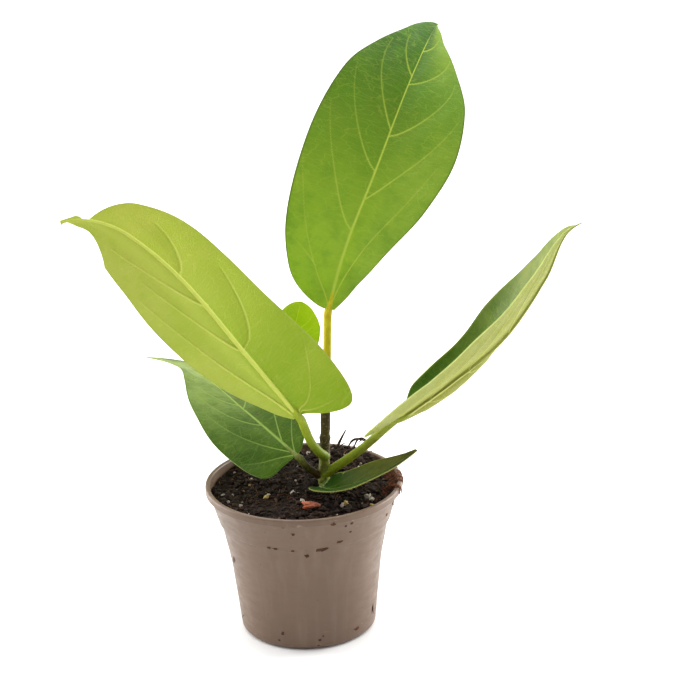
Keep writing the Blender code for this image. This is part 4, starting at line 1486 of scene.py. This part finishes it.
class FIG_OT_bud(bpy.types.Operator):
    """Shapes the pointed bud on the stem's tip, wrapped in its sheath"""

    bl_idname = "fig.bud"
    bl_label = "Bud"

    radius = 0.0021
    steps = 40

    def execute(self, context):
        low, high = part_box("terminal_bud")
        length = high.z - low.z
        profile = [(0.0, length)]
        for step in range(1, self.steps):
            share = 1 - step / self.steps
            swell = 1 - 0.16 * math.exp(-(((share - 0.07) / 0.05) ** 2))
            profile.append((self.radius * swell * math.sqrt(1 - share**1.6), length * share))
        profile += [(self.radius * 0.85, 0.0), (0.0, 0.0)]
        bud = turned("bud_sheath", profile, 48)
        places = get_points(bud)
        turn = np.arctan2(places[:, 1], places[:, 0]) + places[:, 2] * 160
        pleat = 1 + 0.035 * np.sin(9 * turn) + 0.05 * np.maximum(0, np.cos(turn)) ** 6
        places[:, :2] *= pleat[:, None]
        lean = np.array(Matrix.Rotation(math.radians(8.0), 3, "X"))
        places = places @ lean.T + from_foot(STEM_COURSE[-1]) + np.array((0, 0, 0.0006))
        set_points(bud, places)
        put_attribute(bud, "share", (places[:, 2] - low.z) / length)
        smooth(bud, 60.0)
        skin = stalk_material("bud skin", "8E9A34", "A8AE48", "8A7A30")
        settle(bud, skin, ("terminal_bud",))
        return {"FINISHED"}


class FIG_OT_sheath(bpy.types.Operator):
    """Curls the dried sheath that lies on the soil"""

    bl_idname = "fig.sheath"
    bl_label = "Dried sheath"

    def execute(self, context):
        low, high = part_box("dried_sheath")
        centre = (low + high) / 2
        sheath, flat = flat_grid("curled_sheath", 44, 44)
        share = (flat[:, 1] + 1) / 2
        length = high.x - low.x
        radius = (high.y - low.y) / 2 * (1 - 0.7 * share**2)
        turn = math.radians(85.0) * flat[:, 0] * (1 - 0.15 * share)
        creases = np.array([noise.fractal(Vector(p) * 2.4, 0.9, 2.0, 3) for p in flat])
        radius = radius * (1 + 0.10 * creases + 0.05 * np.sin(14 * flat[:, 0]))
        ragged = 0.0006 * np.sin(9 * flat[:, 0]) * (1 - share)
        x = length * (share - 0.5) + ragged
        z = radius * np.cos(turn) + 0.0004 * creases
        places = np.stack([x, radius * np.sin(turn), z], axis=1)
        turned_round = np.array(Matrix.Rotation(math.radians(6.0), 3, "Z"))
        set_points(sheath, places @ turned_round.T + np.array((centre.x, centre.y, low.z + 0.0002)))
        put_attribute(sheath, "share", share)
        apply_modifier(sheath, "SOLIDIFY", thickness=0.00035, offset=0.0)
        tidy_shell(sheath)
        smooth(sheath, 60.0)
        settle(sheath, sheath_material(), ("dried_sheath",))
        return {"FINISHED"}


class FIG_PT_panel(bpy.types.Panel):
    """Lists the pieces of the plant and their settings"""

    bl_idname = "FIG_PT_panel"
    bl_label = "Potted Bengal Fig"
    bl_space_type = "VIEW_3D"
    bl_region_type = "UI"
    bl_category = "Bengal Fig"

    def draw(self, context):
        for name in ("fig_stage", "fig_pot", "fig_soil", "fig_leaf"):
            settings = getattr(context.scene, name)
            box = self.layout.box()
            for key in settings.__annotations__:
                box.prop(settings, key)
        for operator in OPERATORS:
            self.layout.operator(operator.bl_idname)


OPERATORS = (
    FIG_OT_stage,
    FIG_OT_pot,
    FIG_OT_pot_specks,
    FIG_OT_soil,
    FIG_OT_crumbs,
    FIG_OT_debris,
    FIG_OT_stem,
    FIG_OT_stalks,
    FIG_OT_bud,
    FIG_OT_sheath,
    FIG_OT_leaves,
)
GROUPS = {
    "fig_stage": FIG_StageSettings,
    "fig_pot": FIG_PotSettings,
    "fig_soil": FIG_SoilSettings,
    "fig_leaf": FIG_LeafSettings,
}


def register():
    for name, group in GROUPS.items():
        bpy.utils.register_class(group)
        setattr(bpy.types.Scene, name, PointerProperty(type=group))
    for operator in OPERATORS:
        bpy.utils.register_class(operator)
    bpy.utils.register_class(FIG_PT_panel)


def unregister():
    bpy.utils.unregister_class(FIG_PT_panel)
    for operator in reversed(OPERATORS):
        bpy.utils.unregister_class(operator)
    for name, group in reversed(GROUPS.items()):
        delattr(bpy.types.Scene, name)
        bpy.utils.unregister_class(group)


def main():
    register()
    for operator in OPERATORS:
        group, name = operator.bl_idname.split(".")
        getattr(getattr(bpy.ops, group), name)()


if __name__ == "__main__":
    main()
